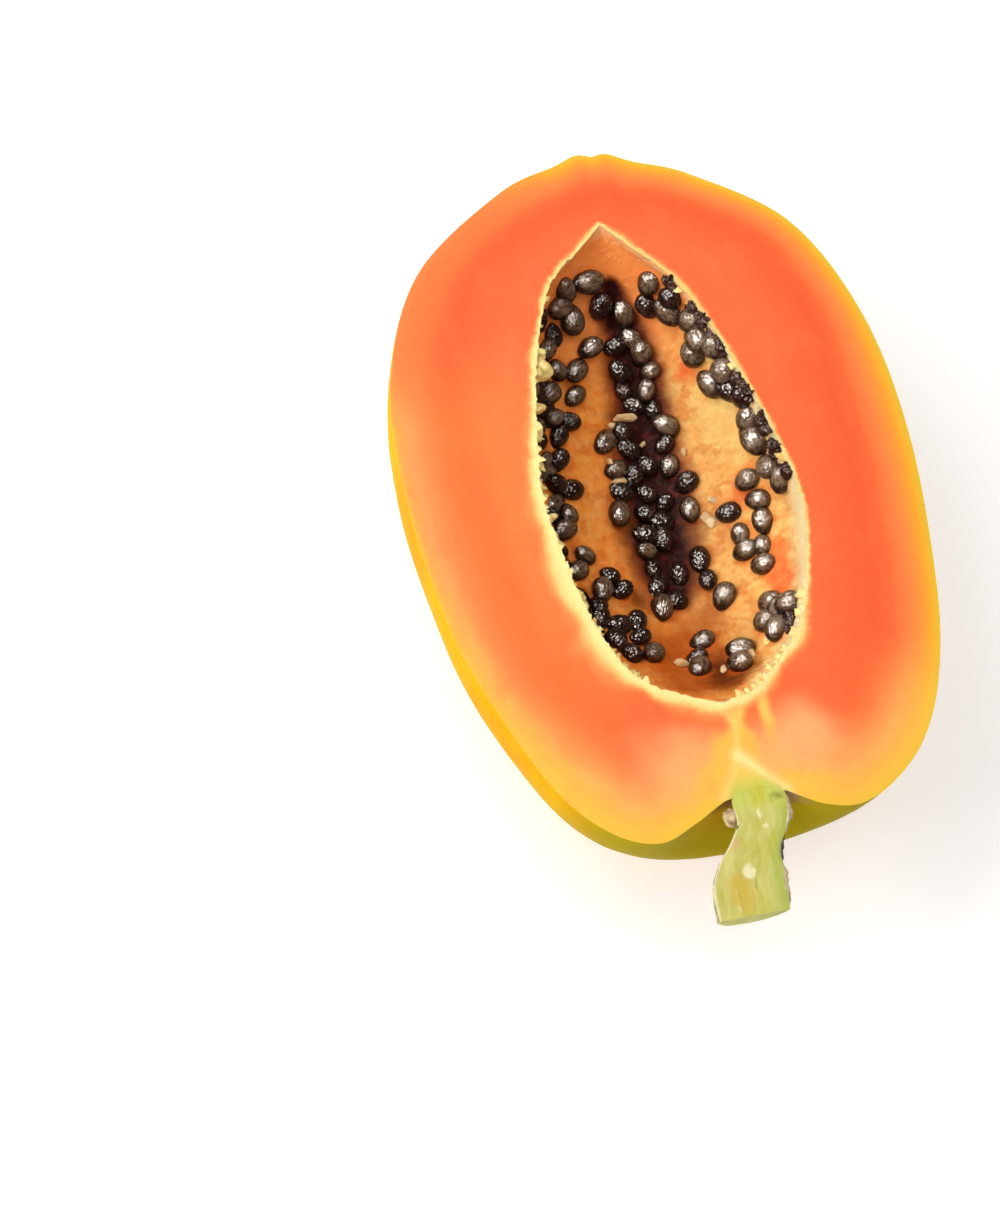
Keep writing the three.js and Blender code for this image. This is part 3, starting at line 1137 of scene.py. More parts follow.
@dataclass(frozen=True)
class BarkFinish:
    """The stem's thin bark, green under its ridges and brown and cream where it peels."""

    name: str = "stem_bark"
    green: Colour = tone(138, 142, 70)
    tan: Colour = tone(196, 176, 128)
    brown: Colour = tone(104, 80, 52)
    cream: Colour = tone(230, 220, 184)
    peel: float = 0.35

    def material(self, axes: FruitAxes) -> bpy.types.Material:
        """Makes the bark's material for a fruit that lies on the given axes."""
        graph = Graph(self.name, axes)
        ridges = graph.speckle(0.9, 4, (1, 6, 1))
        cloud = graph.speckle(4.0, 3, shift=3.0)
        flecks = graph.ease(0.70 - self.peel * 0.3, 0.78, graph.speckle(1.2, 3, shift=8.0))
        colour = graph.layered(
            self.green,
            (self.tan, graph.ease(0.62 - self.peel * 0.6, 0.8, cloud)),
            (self.brown, (1 - graph.ease(0.32, 0.50, ridges)) * 0.8),
            (self.cream, flecks * 0.8),
        )
        return graph.surface(
            Base_Color=colour,
            Roughness=0.62 + (ridges - 0.5) * 0.2,
            Normal=graph.bump(ridges, 0.35),
        )


# ---- seeds --------------------------------------------------------------------------------------


class SeedKind(Enum):
    """How a seed looks."""

    COATED = "coated"
    BARE = "bare"


@dataclass(frozen=True)
class SeedRow:
    """A row that seeds grow in.

    A row's ends are places along the hollow, from 0 at the stem to 1 at the blossom tip, and degrees
    below the right rim. dark is the share of its seeds that have lost their coats.
    """

    name: str
    start: tuple[float, float]
    end: tuple[float, float]
    count: int
    dark: float = 0.3

    def at(self, share: float) -> tuple[float, float]:
        """The place along the hollow and the degrees below its right rim at a share of the row."""
        t, degrees = (first + (last - first) * share for first, last in zip(self.start, self.end))
        return t, degrees


def steps_of(rows: Sequence[SeedRow]) -> Iterator[tuple[SeedRow, int]]:
    """Every row with the number of each of its steps."""
    return ((row, step) for row in rows for step in range(row.count))


@dataclass(frozen=True)
class Seed:
    """One seed's place on the wall, how it lies, its size and its kind."""

    middle: np.ndarray
    along: np.ndarray
    out: np.ndarray
    turn: float
    lean: float
    scale: float
    kind: SeedKind = SeedKind.COATED

    def axes(self) -> np.ndarray:
        """The seed's long, side and upward directions, as rows."""
        long = turned(self.along, self.out, self.turn)
        side = unit(np.cross(self.out, long))
        long = turned(long, side, self.lean)
        return np.stack([long, side, unit(np.cross(long, side))])


@dataclass(frozen=True)
class SeedBed:
    """Rows of seeds that keep clear of each other, and how they lie on the wall.

    spacing is the nearest that two seeds' middles come to each other, and lift is how far a middle
    stands off the wall.
    """

    rows: tuple[SeedRow, ...]
    spacing: float
    lift: tuple[float, float]
    first_draw: int


ON_THE_WALL = SeedBed(
    rows=(
        SeedRow("right rim", (0.8, 14), (0.5, 15), 11, 0.25),
        SeedRow("right rim, inside", (0.85, 30), (0.64, 27), 4, 0.1),
        SeedRow("right belly, upper", (0.555, 32), (0.4, 31), 5, 0.1),
        SeedRow("right belly, middle", (0.52, 46), (0.43, 43), 3, 0.1),
        SeedRow("right belly, lower", (0.475, 63), (0.37, 58), 3, 0.6),
        SeedRow("right foot", (0.355, 34), (0.285, 23), 3, 0.1),
        SeedRow("right foot, rim", (0.335, 17), (0.31, 42), 3, 0.3),
        SeedRow("foot", (0.335, 71), (0.245, 80), 3, 0.3),
        SeedRow("foot, right", (0.305, 55), (0.215, 51), 2, 0.1),
        SeedRow("furrow", (0.79, 76), (0.39, 88), 14, 0.7),
        SeedRow("furrow, right", (0.825, 65), (0.53, 64), 11, 0.25),
        SeedRow("furrow, foot", (0.46, 77), (0.385, 78), 2, 0.6),
        SeedRow("furrow, left", (0.66, 93), (0.54, 91), 4, 0.3),
        SeedRow("furrow, head", (0.81, 50), (0.8, 38), 2, 0.1),
        SeedRow("furrow, middle", (0.62, 73), (0.47, 81), 6, 0.7),
        SeedRow("crown", (0.885, 116), (0.805, 82), 4, 0.3),
        SeedRow("crown, left", (0.855, 128), (0.755, 131), 4, 0.5),
        SeedRow("crown, middle", (0.81, 116), (0.765, 99), 2, 0.1),
        SeedRow("left wall", (0.75, 124), (0.31, 119), 16, 0.45),
        SeedRow("left wall, upper", (0.745, 114), (0.65, 114), 3, 0.1),
        SeedRow("left wall, lower", (0.475, 112), (0.3, 104), 5, 0.6),
        SeedRow("left wall, under the rim", (0.72, 142), (0.38, 138), 6, 0.7),
    ),
    spacing=4.2,
    lift=(0.4, 1.6),
    first_draw=1907,
)

IN_THE_PULP = SeedBed(
    rows=(
        SeedRow("left wall, deep", (0.78, 131), (0.34, 126), 18, 0.7),
        SeedRow("left rim, deep", (0.74, 150), (0.36, 146), 14, 0.7),
    ),
    spacing=3.4,
    lift=(-0.9, 0.1),
    first_draw=2617,
)


@dataclass
class Seeds:
    """The seeds on the hollow's wall, and those half sunk in the pulp between them."""

    half_size: tuple[float, float, float] = (3.2, 2.4, 2.3)
    size_spread: float = 0.14
    tilt: float = 0.5
    stray_along: float = 0.45
    stray_round: float = 5.0
    tries: int = 40
    look_draw: int = 4211
    coat_share: float = 1.06
    core_share: float = 0.86
    bare_share: float = 1.0
    rim_plumpness: float = 0.2
    rim_heights: tuple[float, float] = (-22.0, -9.0)
    core_wrinkle: float = 0.14
    bare_wrinkle: float = 0.15
    steps: tuple[int, int] = (21, 30)
    beds: tuple[SeedBed, ...] = (ON_THE_WALL, IN_THE_PULP)
    placed: list[Seed] = field(default_factory=list)

    def __post_init__(self) -> None:
        """Places the seeds row by row, each clear of those before it."""
        looks = Draws(self.look_draw)
        for bed in self.beds:
            draws = Draws(bed.first_draw)
            for row, step in steps_of(bed.rows):
                seed = self._place(bed, row, step, draws)
                if seed is not None:
                    kind = SeedKind.BARE if looks.draw() < row.dark else SeedKind.COATED
                    self.placed.append(replace(seed, kind=kind))

    def _place(self, bed: SeedBed, row: SeedRow, step: int, draws: Draws) -> Seed | None:
        """Finds one seed's place.

        Args:
            bed: the bed that it lies in.
            row: the row that it grows in.
            step: its number in the row.
            draws: the bed's draws.

        Returns:
            The seed, or None where no try is clear of the others.
        """
        for _ in range(self.tries):
            t, degrees = row.at((step + 0.5 + self.stray_along * draws.either()) / row.count)
            angle = math.radians(degrees + self.stray_round * draws.either())
            along, out = HOLLOW.inward(t, angle)
            middle = HOLLOW.points(t, angle) + out * draws.between(*bed.lift)
            if any(np.linalg.norm(seed.middle - middle) < bed.spacing for seed in self.placed):
                continue
            turn, lean = math.pi * draws.draw(), self.tilt * draws.either()
            return Seed(middle, along, out, turn, lean, 1 + self.size_spread * draws.either())
        return None

    def middles(self) -> np.ndarray:
        """Every seed's middle, as rows."""
        return np.stack([seed.middle for seed in self.placed])

    def _shape(self, seed: Seed, share: float, wrinkle: float, shift: float) -> np.ndarray:
        """The grid of one seed.

        Args:
            seed: the seed.
            share: its size over the full size.
            wrinkle: how deep its wrinkles are, in millimetres.
            shift: a number of its own for the noise.

        Returns:
            The grid's points in the fruit's axes.
        """
        round_ball = ball(*self.steps)
        plump = 1 + self.rim_plumpness * ease(*self.rim_heights, seed.middle[2])
        local = round_ball * np.array(self.half_size) * seed.scale * share * plump
        local[..., 1:] *= 1 - 0.10 * round_ball[..., :1]
        swell = 1 + 0.05 * drift(local, 3.0, 2, shift)
        furrows = wrinkle * creases(local, 1.5, shift + 3.0)
        local = local * swell[..., None] - round_ball * furrows[..., None]
        return seed.middle + local @ seed.axes()

    def build(self, axes: FruitAxes) -> list[bpy.types.Object]:
        """Makes the seeds.

        Args:
            axes: where the fruit lies.

        Returns:
            The coats, the seeds inside them and the bare seeds, one object of each kind.
        """
        coats, cores, bare = MeshStack(), MeshStack(), MeshStack()
        for number, seed in enumerate(self.placed):
            shift = 1.7 * number
            if seed.kind is SeedKind.COATED:
                coat = self._shape(seed, self.coat_share, 0.0, shift)
                # The side that looks up and out of the hollow: the coat's painted sheen lies towards it
                # and its painted shade away from it, by crown.
                painted_sheen_side = unit(0.6 * seed.out + UP)
                long, side, top = np.moveaxis((coat - seed.middle) @ seed.axes().T, -1, 0)
                crown = unit(coat - seed.middle) @ painted_sheen_side
                coats.add(coat, looped=True, crown=crown, long=long + shift, side=side, top=top)
                core = self._shape(seed, self.core_share, self.core_wrinkle, shift)
                cores.add(core, looped=True)
            else:
                shell = self._shape(seed, self.bare_share, self.bare_wrinkle, shift)
                bare.add(shell, looped=True)
        black = SeedFinish("bare_seed", tone(34, 18, 15), tone(92, 64, 50), 0.6, 0.06, 0.26)
        return [
            coats.build("seed_coats", [CoatFinish().material(axes)], axes),
            cores.build("seeds_in_coats", [SeedFinish().material(axes)], axes),
            bare.build("bare_seeds", [black.material(axes)], axes),
        ]


@dataclass
class CrushedSeeds:
    """Seeds that the knife crushed and cut off along the hollow's rim: torn, with a few short tips."""

    size: float = 2.7
    size_shares: tuple[float, float] = (0.6, 1.15)
    tips: int = 6
    tip_reach: tuple[float, float] = (0.0, 0.65)
    tip_width: float = 0.21
    cut_off: float = 0.45
    steps: tuple[int, int] = (31, 34)
    first_draw: int = 733
    rows: tuple[SeedRow, ...] = (
        SeedRow("right rim", (0.82, 6), (0.50, 5), 10),
        SeedRow("right foot", (0.335, 14), (0.275, 16), 2),
        SeedRow("left wall", (0.80, 146), (0.42, 140), 13),
        SeedRow("left foot", (0.50, 134), (0.34, 128), 7),
        SeedRow("left rim", (0.60, 165), (0.36, 163), 8),
    )

    def build(self, axes: FruitAxes) -> bpy.types.Object:
        """Makes the crushed seeds as one object that lies on the given axes."""
        draws, stack = Draws(self.first_draw), MeshStack()
        for row, step in steps_of(self.rows):
            stack.add(self._shard(row, step, draws), looped=True)
        black = SeedFinish("crushed_seed", tone(54, 30, 23), tone(124, 86, 62), 0.55, 0.24, 0.1)
        return stack.build("crushed_seeds", [black.material(axes)], axes, sharp=50.0)

    def _shard(self, row: SeedRow, step: int, draws: Draws) -> np.ndarray:
        """The grid of one crushed seed.

        Args:
            row: the row along the rim that it lies in.
            step: its number in the row.
            draws: the draws for its place and form.

        Returns:
            The grid's points in the fruit's axes.
        """
        t, degrees = row.at((step + 0.5 + 0.4 * draws.either()) / row.count)
        angle = math.radians(degrees)
        along, out = HOLLOW.inward(t, angle)
        middle = HOLLOW.points(t, angle) + out * 0.5
        size = self.size * draws.between(*self.size_shares)
        round_ball = ball(*self.steps)
        turn = np.arctan2(round_ball[..., 1], round_ball[..., 0])
        reach = np.zeros(turn.shape)
        for tip in range(self.tips):
            centre = 2 * math.pi * (tip + 0.8 * draws.draw()) / self.tips
            gap = np.angle(np.exp(1j * (turn - centre)))
            reach += draws.between(*self.tip_reach) * np.exp(-((gap / self.tip_width) ** 2))
        lumps = 0.3 * np.abs(drift(round_ball, 0.35, 2, 40.0 * draws.draw()))
        flatness = np.array([1.15, 0.9, 0.75]) - reach[..., None] * np.array([0.0, 0.0, 0.35])
        local = round_ball * (0.68 + reach + lumps)[..., None] * flatness * size
        long = turned(along, out, math.pi * draws.draw())
        side = unit(np.cross(out, long))
        shard = middle + local @ np.stack([long, side, out])
        flat = self.cut_off + 0.25 * drift(shard, 0.9, 2)
        shard[..., 2] = np.minimum(shard[..., 2], flat)
        return shard


# ---- the flesh ----------------------------------------------------------------------------------


class Face(Enum):
    """The flesh's faces, by material slot."""

    SKIN = 0
    CUT = 1
    HOLLOW = 2


@dataclass(frozen=True)
class Vein:
    """A vein in the cut face: a line of places, its width in millimetres and how plainly it shows."""

    line: tuple[tuple[float, float], ...]
    width: float
    strength: float = 1.0


@dataclass
class Flesh:
    """The half fruit: skin, cut face and hollow in one closed surface.

    The dark furrow is a line on the hollow's wall: places along the hollow, degrees below its right
    rim, and half widths in millimetres. Its darkness is partly dark juice and partly painted shade
    between the seeds.
    """

    FURROW_POINTS = 160  # how many balls the dark furrow is made of
    VEIN_POINTS = 60  # how many dots a vein is made of

    rows: int = 420
    skin_steps: int = 92
    hollow_steps: int = 124
    cut_steps: int = 40
    swell: float = 0.35
    lump: float = 0.45
    grain: float = 0.16
    collar: float = 0.45
    collar_gap: float = 2.9
    collar_width: float = 0.8
    tear: float = 0.45
    tooth: float = 1.9
    dark_furrow: tuple[tuple[float, float, float], ...] = (
        (0.86, 75.0, 2.0), (0.81, 73.0, 3.6), (0.76, 71.5, 4.8), (0.70, 72.5, 5.6), (0.64, 74.0, 6.4),
        (0.58, 75.5, 7.2), (0.52, 77.5, 7.8), (0.46, 79.0, 6.8), (0.41, 79.0, 3.4),
    )
    veins: tuple[Vein, ...] = (
        Vein(((-3.6, 23.6), (-2.0, 19.6), (-0.9, 16.6)), 0.9),
        Vein(((-0.4, 24.0), (-0.5, 20.0), (-0.8, 16.6)), 1.6, 0.7),
        Vein(((2.8, 23.2), (0.9, 19.8), (-0.7, 16.6)), 0.9, 0.7),
        Vein(((-0.8, 18.0), (-1.2, 14.5), (-2.0, 11.0), (-2.5, 8.4)), 0.8),
        Vein(((7.0, 24.5), (7.2, 20.5), (7.3, 17.5)), 1.3, 0.7),
    )
    bright_veins: tuple[Vein, ...] = (
        Vein(((-2.0, 9.8), (-0.4, 7.9), (2.2, 5.0), (4.8, 2.0), (6.8, 0.3)), 1.7),
        Vein(((-2.4, 9.0), (-3.6, 6.4), (-5.6, 3.2), (-7.6, 0.9)), 1.3, 0.4),
    )

    def build(self, axes: FruitAxes, seeds: Seeds) -> bpy.types.Object:
        """Makes the flesh.

        Args:
            axes: where the fruit lies.
            seeds: the seeds on its hollow's wall.

        Returns:
            The object.
        """
        stack = MeshStack()
        skin_places = FRUIT.even_places(self.rows)
        hollow_places = HOLLOW.even_places(self.rows)
        self._add_skin(stack, skin_places)
        self._add_hollow(stack, hollow_places, seeds)
        for side in (0.0, math.pi):
            self._add_cut(stack, skin_places, hollow_places, side)
        finishes = [SkinFinish(), CutFinish(), HollowFinish()]
        materials = [finish.material(axes) for finish in finishes]
        return stack.build("papaya_flesh", materials, axes, sharp=50.0)

    def _add_skin(self, stack: MeshStack, places: np.ndarray) -> None:
        """Adds the skin, with its low swells and the flat spot that it lies on."""
        t = places[:, None]
        angle = np.linspace(0.0, math.pi, self.skin_steps + 1)[None, :]
        points = FRUIT.points(t, angle)
        _, inward = FRUIT.inward(t, angle)
        inner = ease(0.0, 5.0, -points[..., 2]) * ease(0.0, 0.02, t) * ease(1.0, 0.98, t)
        height = self.swell * drift(points, 26.0, 2) + 0.05 * drift(points, 5.0, 2)
        points = points - inward * (height * inner)[..., None]
        points[..., 2] = np.maximum(points[..., 2], -CUT_HEIGHT)
        stack.add(points, Face.SKIN.value, **self._fields(from_hollow=40.0, depth=-points[..., 2]))

    @staticmethod
    def _fields(**given: Any) -> dict[str, Any]:
        """Every named value of the flesh's points: those given, and plain ones for the rest."""
        plain = {"from_skin": 0.0, "from_hollow": 0.0, "depth": 0.0, "lining": 1.0, "stain": 0.0}
        plain |= {"furrow": 0.0, "vein": 0.0, "bright_vein": 0.0, "heart": 0.0}
        return plain | given

    def _furrow(self, points: np.ndarray) -> np.ndarray:
        """How far inside the dark furrow each point of the hollow's wall lies, from 0 to 1."""
        place = Outline(*self.dark_furrow).at(np.linspace(0.0, 1.0, self.FURROW_POINTS))
        line = HOLLOW.points(place[:, 0], np.radians(place[:, 1]))
        inside = np.zeros(points.shape[:-1])
        for middle, half in zip(line, place[:, 2]):
            gap = np.linalg.norm(points - middle, axis=-1)
            inside = np.maximum(inside, 1 - gap / (2 * half))
        return inside

    def _add_hollow(self, stack: MeshStack, places: np.ndarray, seeds: Seeds) -> None:
        """Adds the hollow's wall, lumpy and drawn up round each seed.

        Args:
            stack: the mesh that it joins.
            places: the rows' places along the hollow.
            seeds: the seeds on the wall.
        """
        t = places[:, None]
        angle = np.linspace(0.0, math.pi, self.hollow_steps + 1)[None, :]
        points = HOLLOW.points(t, angle)
        _, inward = HOLLOW.inward(t, angle)
        depth = -points[..., 2]
        gap = nearest(points, seeds.middles())
        inner = ease(0.0, 3.0, depth) * ease(0.0, 0.02, t) * ease(1.0, 0.97, t)
        calm = 1 - 0.7 * ease(112.0, 128.0, points[..., 1])
        lumps = self.lump * drift(points, 6.0, 3) + self.grain * drift(points, 1.4, 2)
        collar = self.collar * np.exp(-(((gap - self.collar_gap) / self.collar_width) ** 2))
        height = (lumps * calm + collar) * inner
        torn = points + self._torn(points, 0.0, depth)
        moved = torn + inward * height[..., None]
        # Partly the seeds' juice staining, partly painted contact shade: strongest next to each seed.
        stain = np.exp(-((np.maximum(gap - 1.8, 0.0) / 2.2) ** 2))
        furrow = self._furrow(points)
        fields = self._fields(from_skin=20.0, depth=depth, stain=stain, furrow=furrow)
        stack.add(moved, Face.HOLLOW.value, **fields)

    def _add_cut(
        self, stack: MeshStack, skin_places: np.ndarray, hollow_places: np.ndarray, side: float
    ) -> None:
        """Adds one side of the cut face, from the skin's edge to the hollow's rim.

        Args:
            stack: the mesh that it joins.
            skin_places: the rows' places along the skin.
            hollow_places: the rows' places along the hollow.
            side: the side's angle, 0 on the right and half a turn on the left.
        """
        edge = FRUIT.points(skin_places, side)
        rim = HOLLOW.points(hollow_places, side)
        even = np.linspace(0.0, 1.0, self.cut_steps + 1)
        share = 0.45 * even + 0.55 * (0.5 - 0.5 * np.cos(math.pi * even))
        points = edge[:, None] + (rim - edge)[:, None] * share[None, :, None]
        points[..., 2] = 0.0
        flat = points[..., :2]
        from_skin = nearest(flat, self._rim(FRUIT, skin_places))
        from_hollow = nearest(flat, self._rim(HOLLOW, hollow_places))
        inner = ease(0.0, 4.0, from_skin)
        relief = 0.10 * drift(points, 14.0, 2) + 0.035 * drift(points, 2.2, 2)
        moved = points + self._torn(points, from_hollow, 0.0)
        moved[..., 2] += relief * inner * ease(0.0, 2.5, from_hollow)
        fields = self._fields(
            from_skin=from_skin,
            from_hollow=from_hollow,
            lining=self._lining_width(points),
            vein=self._shown(flat, self.veins),
            bright_vein=self._shown(flat, self.bright_veins),
            heart=self._heart(flat),
        )
        stack.add(moved, Face.CUT.value, **fields)

    @staticmethod
    def _rim(form: HalfForm, places: np.ndarray) -> np.ndarray:
        """The closed line that a form makes in the cut face."""
        sides = [form.points(places, side)[:, :2] for side in (0.0, math.pi)]
        return np.concatenate(sides)

    def _torn(self, points: np.ndarray, from_hollow: Any, depth: Any) -> np.ndarray:
        """How far the hollow's rim is torn out of its smooth line.

        Args:
            points: the places that may move.
            from_hollow: their distances from the rim in the cut face.
            depth: their depths below it.

        Returns:
            A shift for each place, the same from both faces that meet in the rim.
        """
        near = np.exp(-((from_hollow / 0.9) ** 2) - (depth / 1.2) ** 2)
        outward = points - np.array([HOLLOW.offset, 82.0, 0.0])
        outward[..., 2] = 0.0
        reach = np.linalg.norm(outward, axis=-1, keepdims=True) + 1e-6
        tip = ease(3.0, 9.0, np.abs(points[..., 0] - HOLLOW.offset))
        tear = self.tear * (0.35 + 0.65 * tip) * (drift(points, 1.5, 2) + 0.5 * drift(points, 5.0))
        clusters = ease(-0.35, 0.25, drift(points, 5.0, 1, 2.0))
        teeth = ease(0.0, 0.55, drift(points, 1.7, 2, 6.0)) * clusters
        tear = tear - self.tooth * teeth * self._raggedness(points)
        lift = 0.12 + 0.28 * drift(points, 1.9, 2, 9.0)
        return outward / reach * (near * tear)[..., None] + UP * (near * lift)[..., None]

    @staticmethod
    def _raggedness(points: np.ndarray) -> np.ndarray:
        """How ragged the rim is, from 0 to 1: most on the left, none at the blossom tip."""
        across, along = points[..., 0], points[..., 1]
        left = (0.25 + 0.75 * ease(112.0, 84.0, along)) * ease(26.0, 31.0, along)
        right = 0.2 + 0.5 * ease(52.0, 42.0, along)
        side = ease(6.0, -6.0, across)
        return (right + (left - right) * side) * ease(134.0, 118.0, along)

    @staticmethod
    def _lining_width(points: np.ndarray) -> np.ndarray:
        """How wide the cream lining is, in millimetres: widest low on the left, thin on the right."""
        across, along = points[..., 0], points[..., 1]
        left = 1.0 + 1.5 * ease(130.0, 84.0, along) + 1.9 * ease(82.0, 56.0, along)
        left = left - 1.4 * ease(42.0, 26.0, along)
        right = 0.8 + 1.3 * ease(50.0, 36.0, along) + 0.3 * ease(96.0, 118.0, along)
        side = ease(8.0, -8.0, across)
        swell = 1 + 0.5 * drift(points, 9.0, 2)
        return (right + (left - right) * side) * swell

    @staticmethod
    def _shown(flat: np.ndarray, veins: Sequence[Vein]) -> np.ndarray:
        """How much of any of the veins shows at each place of the cut face, from 0 to 1."""
        shown = np.zeros(flat.shape[:-1])
        for vein in veins:
            dots = Outline(*vein.line).at(np.linspace(0.0, 1.0, Flesh.VEIN_POINTS))
            near = np.exp(-((nearest(flat, dots) / vein.width) ** 2))
            shown = np.maximum(shown, vein.strength * near)
        return shown

    @staticmethod
    def _heart(flat: np.ndarray) -> np.ndarray:
        """How much of the stem's green tissue shows in the flesh above its seat, from 0 to 1."""
        across, along = flat[..., 0], flat[..., 1]
        half = 7.6 * (1 - np.clip(along, 0.0, 9.4) / 9.4)
        inside = 1 - ease(-2.0, 0.8, np.abs(across - 0.2 + 0.3 * along) - half)
        return inside * (1 - ease(3.4, 9.4, along))


@dataclass(frozen=True)
class Lump:
    """A soft lump on the hollow's wall.

    place is along the hollow and degrees is below its right rim, size is half its length in
    millimetres, slim is its width over its length, turn is how far in degrees it is turned from the
    fruit's length, and thick is how far it stands off the wall over its length.
    """

    place: float
    degrees: float
    size: float
    slim: float = 0.6
    turn: float = 0.0
    thick: float = 0.5


@dataclass
class Shreds:
    """Torn bits of lining along the rim, and the pale stalks between the seeds."""

    first_draw: int = 5021
    steps: tuple[int, int] = (9, 12)
    lump_steps: tuple[int, int] = (20, 26)
    sizes: tuple[float, float] = (0.4, 1.5)
    rim_rows: tuple[SeedRow, ...] = (
        SeedRow("left rim, upper", (0.80, 178), (0.64, 178), 6),
        SeedRow("left rim, lower", (0.62, 177), (0.26, 175), 44),
        SeedRow("foot, left", (0.26, 175), (0.20, 174), 8),
        SeedRow("foot, right", (0.06, 6), (0.34, 4), 18),
        SeedRow("right rim", (0.44, 3), (0.84, 3), 6),
    )
    lumps: tuple[Lump, ...] = (
        Lump(0.712, 171, 2.9, 0.9, 60, 0.9), Lump(0.73, 173, 1.9, 0.8, 0, 0.8),
        Lump(0.655, 172, 2.1, 0.5, 80, 0.8), Lump(0.625, 172, 1.7, 0.8, 0, 0.8),
        Lump(0.50, 172, 2.3, 0.5, 100, 0.8), Lump(0.38, 171, 1.9, 0.7, 40, 0.8),
        Lump(0.283, 34, 1.5, 0.9), Lump(0.30, 26, 1.3, 0.8, 30),
    )
    stalks: tuple[Lump, ...] = (
        Lump(0.671, 82, 3.0, 0.45, 84), Lump(0.66, 88, 1.9, 0.6, 70), Lump(0.604, 94, 2.4, 0.4, 8),
        Lump(0.588, 91, 2.2, 0.45, 95), Lump(0.63, 76, 1.1, 0.5, 120),
        Lump(0.509, 56, 2.3, 0.65, 30, 0.22), Lump(0.536, 52, 1.3, 0.8, 60, 0.3),
        Lump(0.606, 58, 1.1, 0.8), Lump(0.274, 90, 1.9, 0.6, 70), Lump(0.256, 44, 2.0, 0.7, 20),
        Lump(0.325, 70, 1.6, 0.6, 140), Lump(0.23, 63, 1.5, 0.7),
    )

    def build(self, axes: FruitAxes) -> list[bpy.types.Object]:
        """Makes the shreds and the stalks, one object of each, on the given axes."""
        draws = Draws(self.first_draw)
        shreds, stalks = MeshStack(), MeshStack()
        for row, step in steps_of(self.rim_rows):
            shreds.add(self._shred(row, step, draws), looped=True)
        for stack, lumps in ((shreds, self.lumps), (stalks, self.stalks)):
            for lump in lumps:
                stack.add(self._lump(lump, draws), looped=True)
        lining = PulpFinish()
        pale = PulpFinish(tone(240, 206, 150), tone(214, 168, 112), "seed_stalk")
        return [
            shreds.build("lining_shreds", [lining.material(axes)], axes),
            stalks.build("seed_stalks", [pale.material(axes)], axes),
        ]

    def _shred(self, row: SeedRow, step: int, draws: Draws) -> np.ndarray:
        """The grid of one shred, which leans from the rim into the hollow.

        Args:
            row: the row along the rim.
            step: its number in the row.
            draws: the draws for its place and form.

        Returns:
            The grid's points in the fruit's axes.
        """
        t, degrees = row.at((step + draws.draw()) / row.count)
        angle = math.radians(degrees)
        along, out = HOLLOW.inward(t, angle)
        size = draws.between(*self.sizes)
        round_ball = ball(*self.steps)
        local = round_ball * np.array([1.0, 0.8, 0.45]) * size
        local[..., 1:] *= 1 - 0.4 * ease(-0.2, 1.0, round_ball[..., :1])
        ragged = 1 + 0.8 * drift(round_ball, 0.8, 2, 30 * draws.draw())
        forward = unit(out + 0.9 * draws.either() * along)
        side = unit(np.cross(UP, forward))
        top = np.cross(forward, side)
        middle = HOLLOW.points(t, angle) + forward * 0.35 * size
        middle = middle + UP * (-0.05 - 0.35 * draws.draw())
        return middle + (local * ragged[..., None]) @ np.stack([forward, side, top])

    def _lump(self, lump: Lump, draws: Draws) -> np.ndarray:
        """The grid of one soft lump.

        Args:
            lump: its place, size and turn.
            draws: the draws for its form.

        Returns:
            The grid's points in the fruit's axes.
        """
        angle = math.radians(lump.degrees)
        along, out = HOLLOW.inward(lump.place, angle)
        long = turned(along, out, math.radians(lump.turn))
        side = np.cross(out, long)
        round_ball = ball(*self.lump_steps)
        swell = 1 + 0.35 * drift(round_ball, 1.1, 2, 30 * draws.draw())
        waist = 0.75 + 0.4 * round_ball[..., 0] ** 2
        local = round_ball * np.array([1.0, lump.slim, lump.thick]) * lump.size
        local = local * swell[..., None]
        local[..., 1] *= waist
        middle = HOLLOW.points(lump.place, angle) + out * 0.7 * lump.thick * lump.size
        return middle + local @ np.stack([long, side, out])


# ---- the stem -----------------------------------------------------------------------------------


@dataclass(frozen=True)
class BarkStrip:
    """A loose strip of bark along one edge of the stem's cut face, in millimetres.

    It runs from start to end along the fruit, on the right where side is 1 and on the left where it
    is -1, stands off the edge by stand, and hangs below it by drop. A dark strip is partly withered
    bark and partly painted shade in the gap behind the stem's right edge.
    """

    start: float
    end: float
    side: int
    stand: float
    drop: float
    dried_and_shaded: bool = False


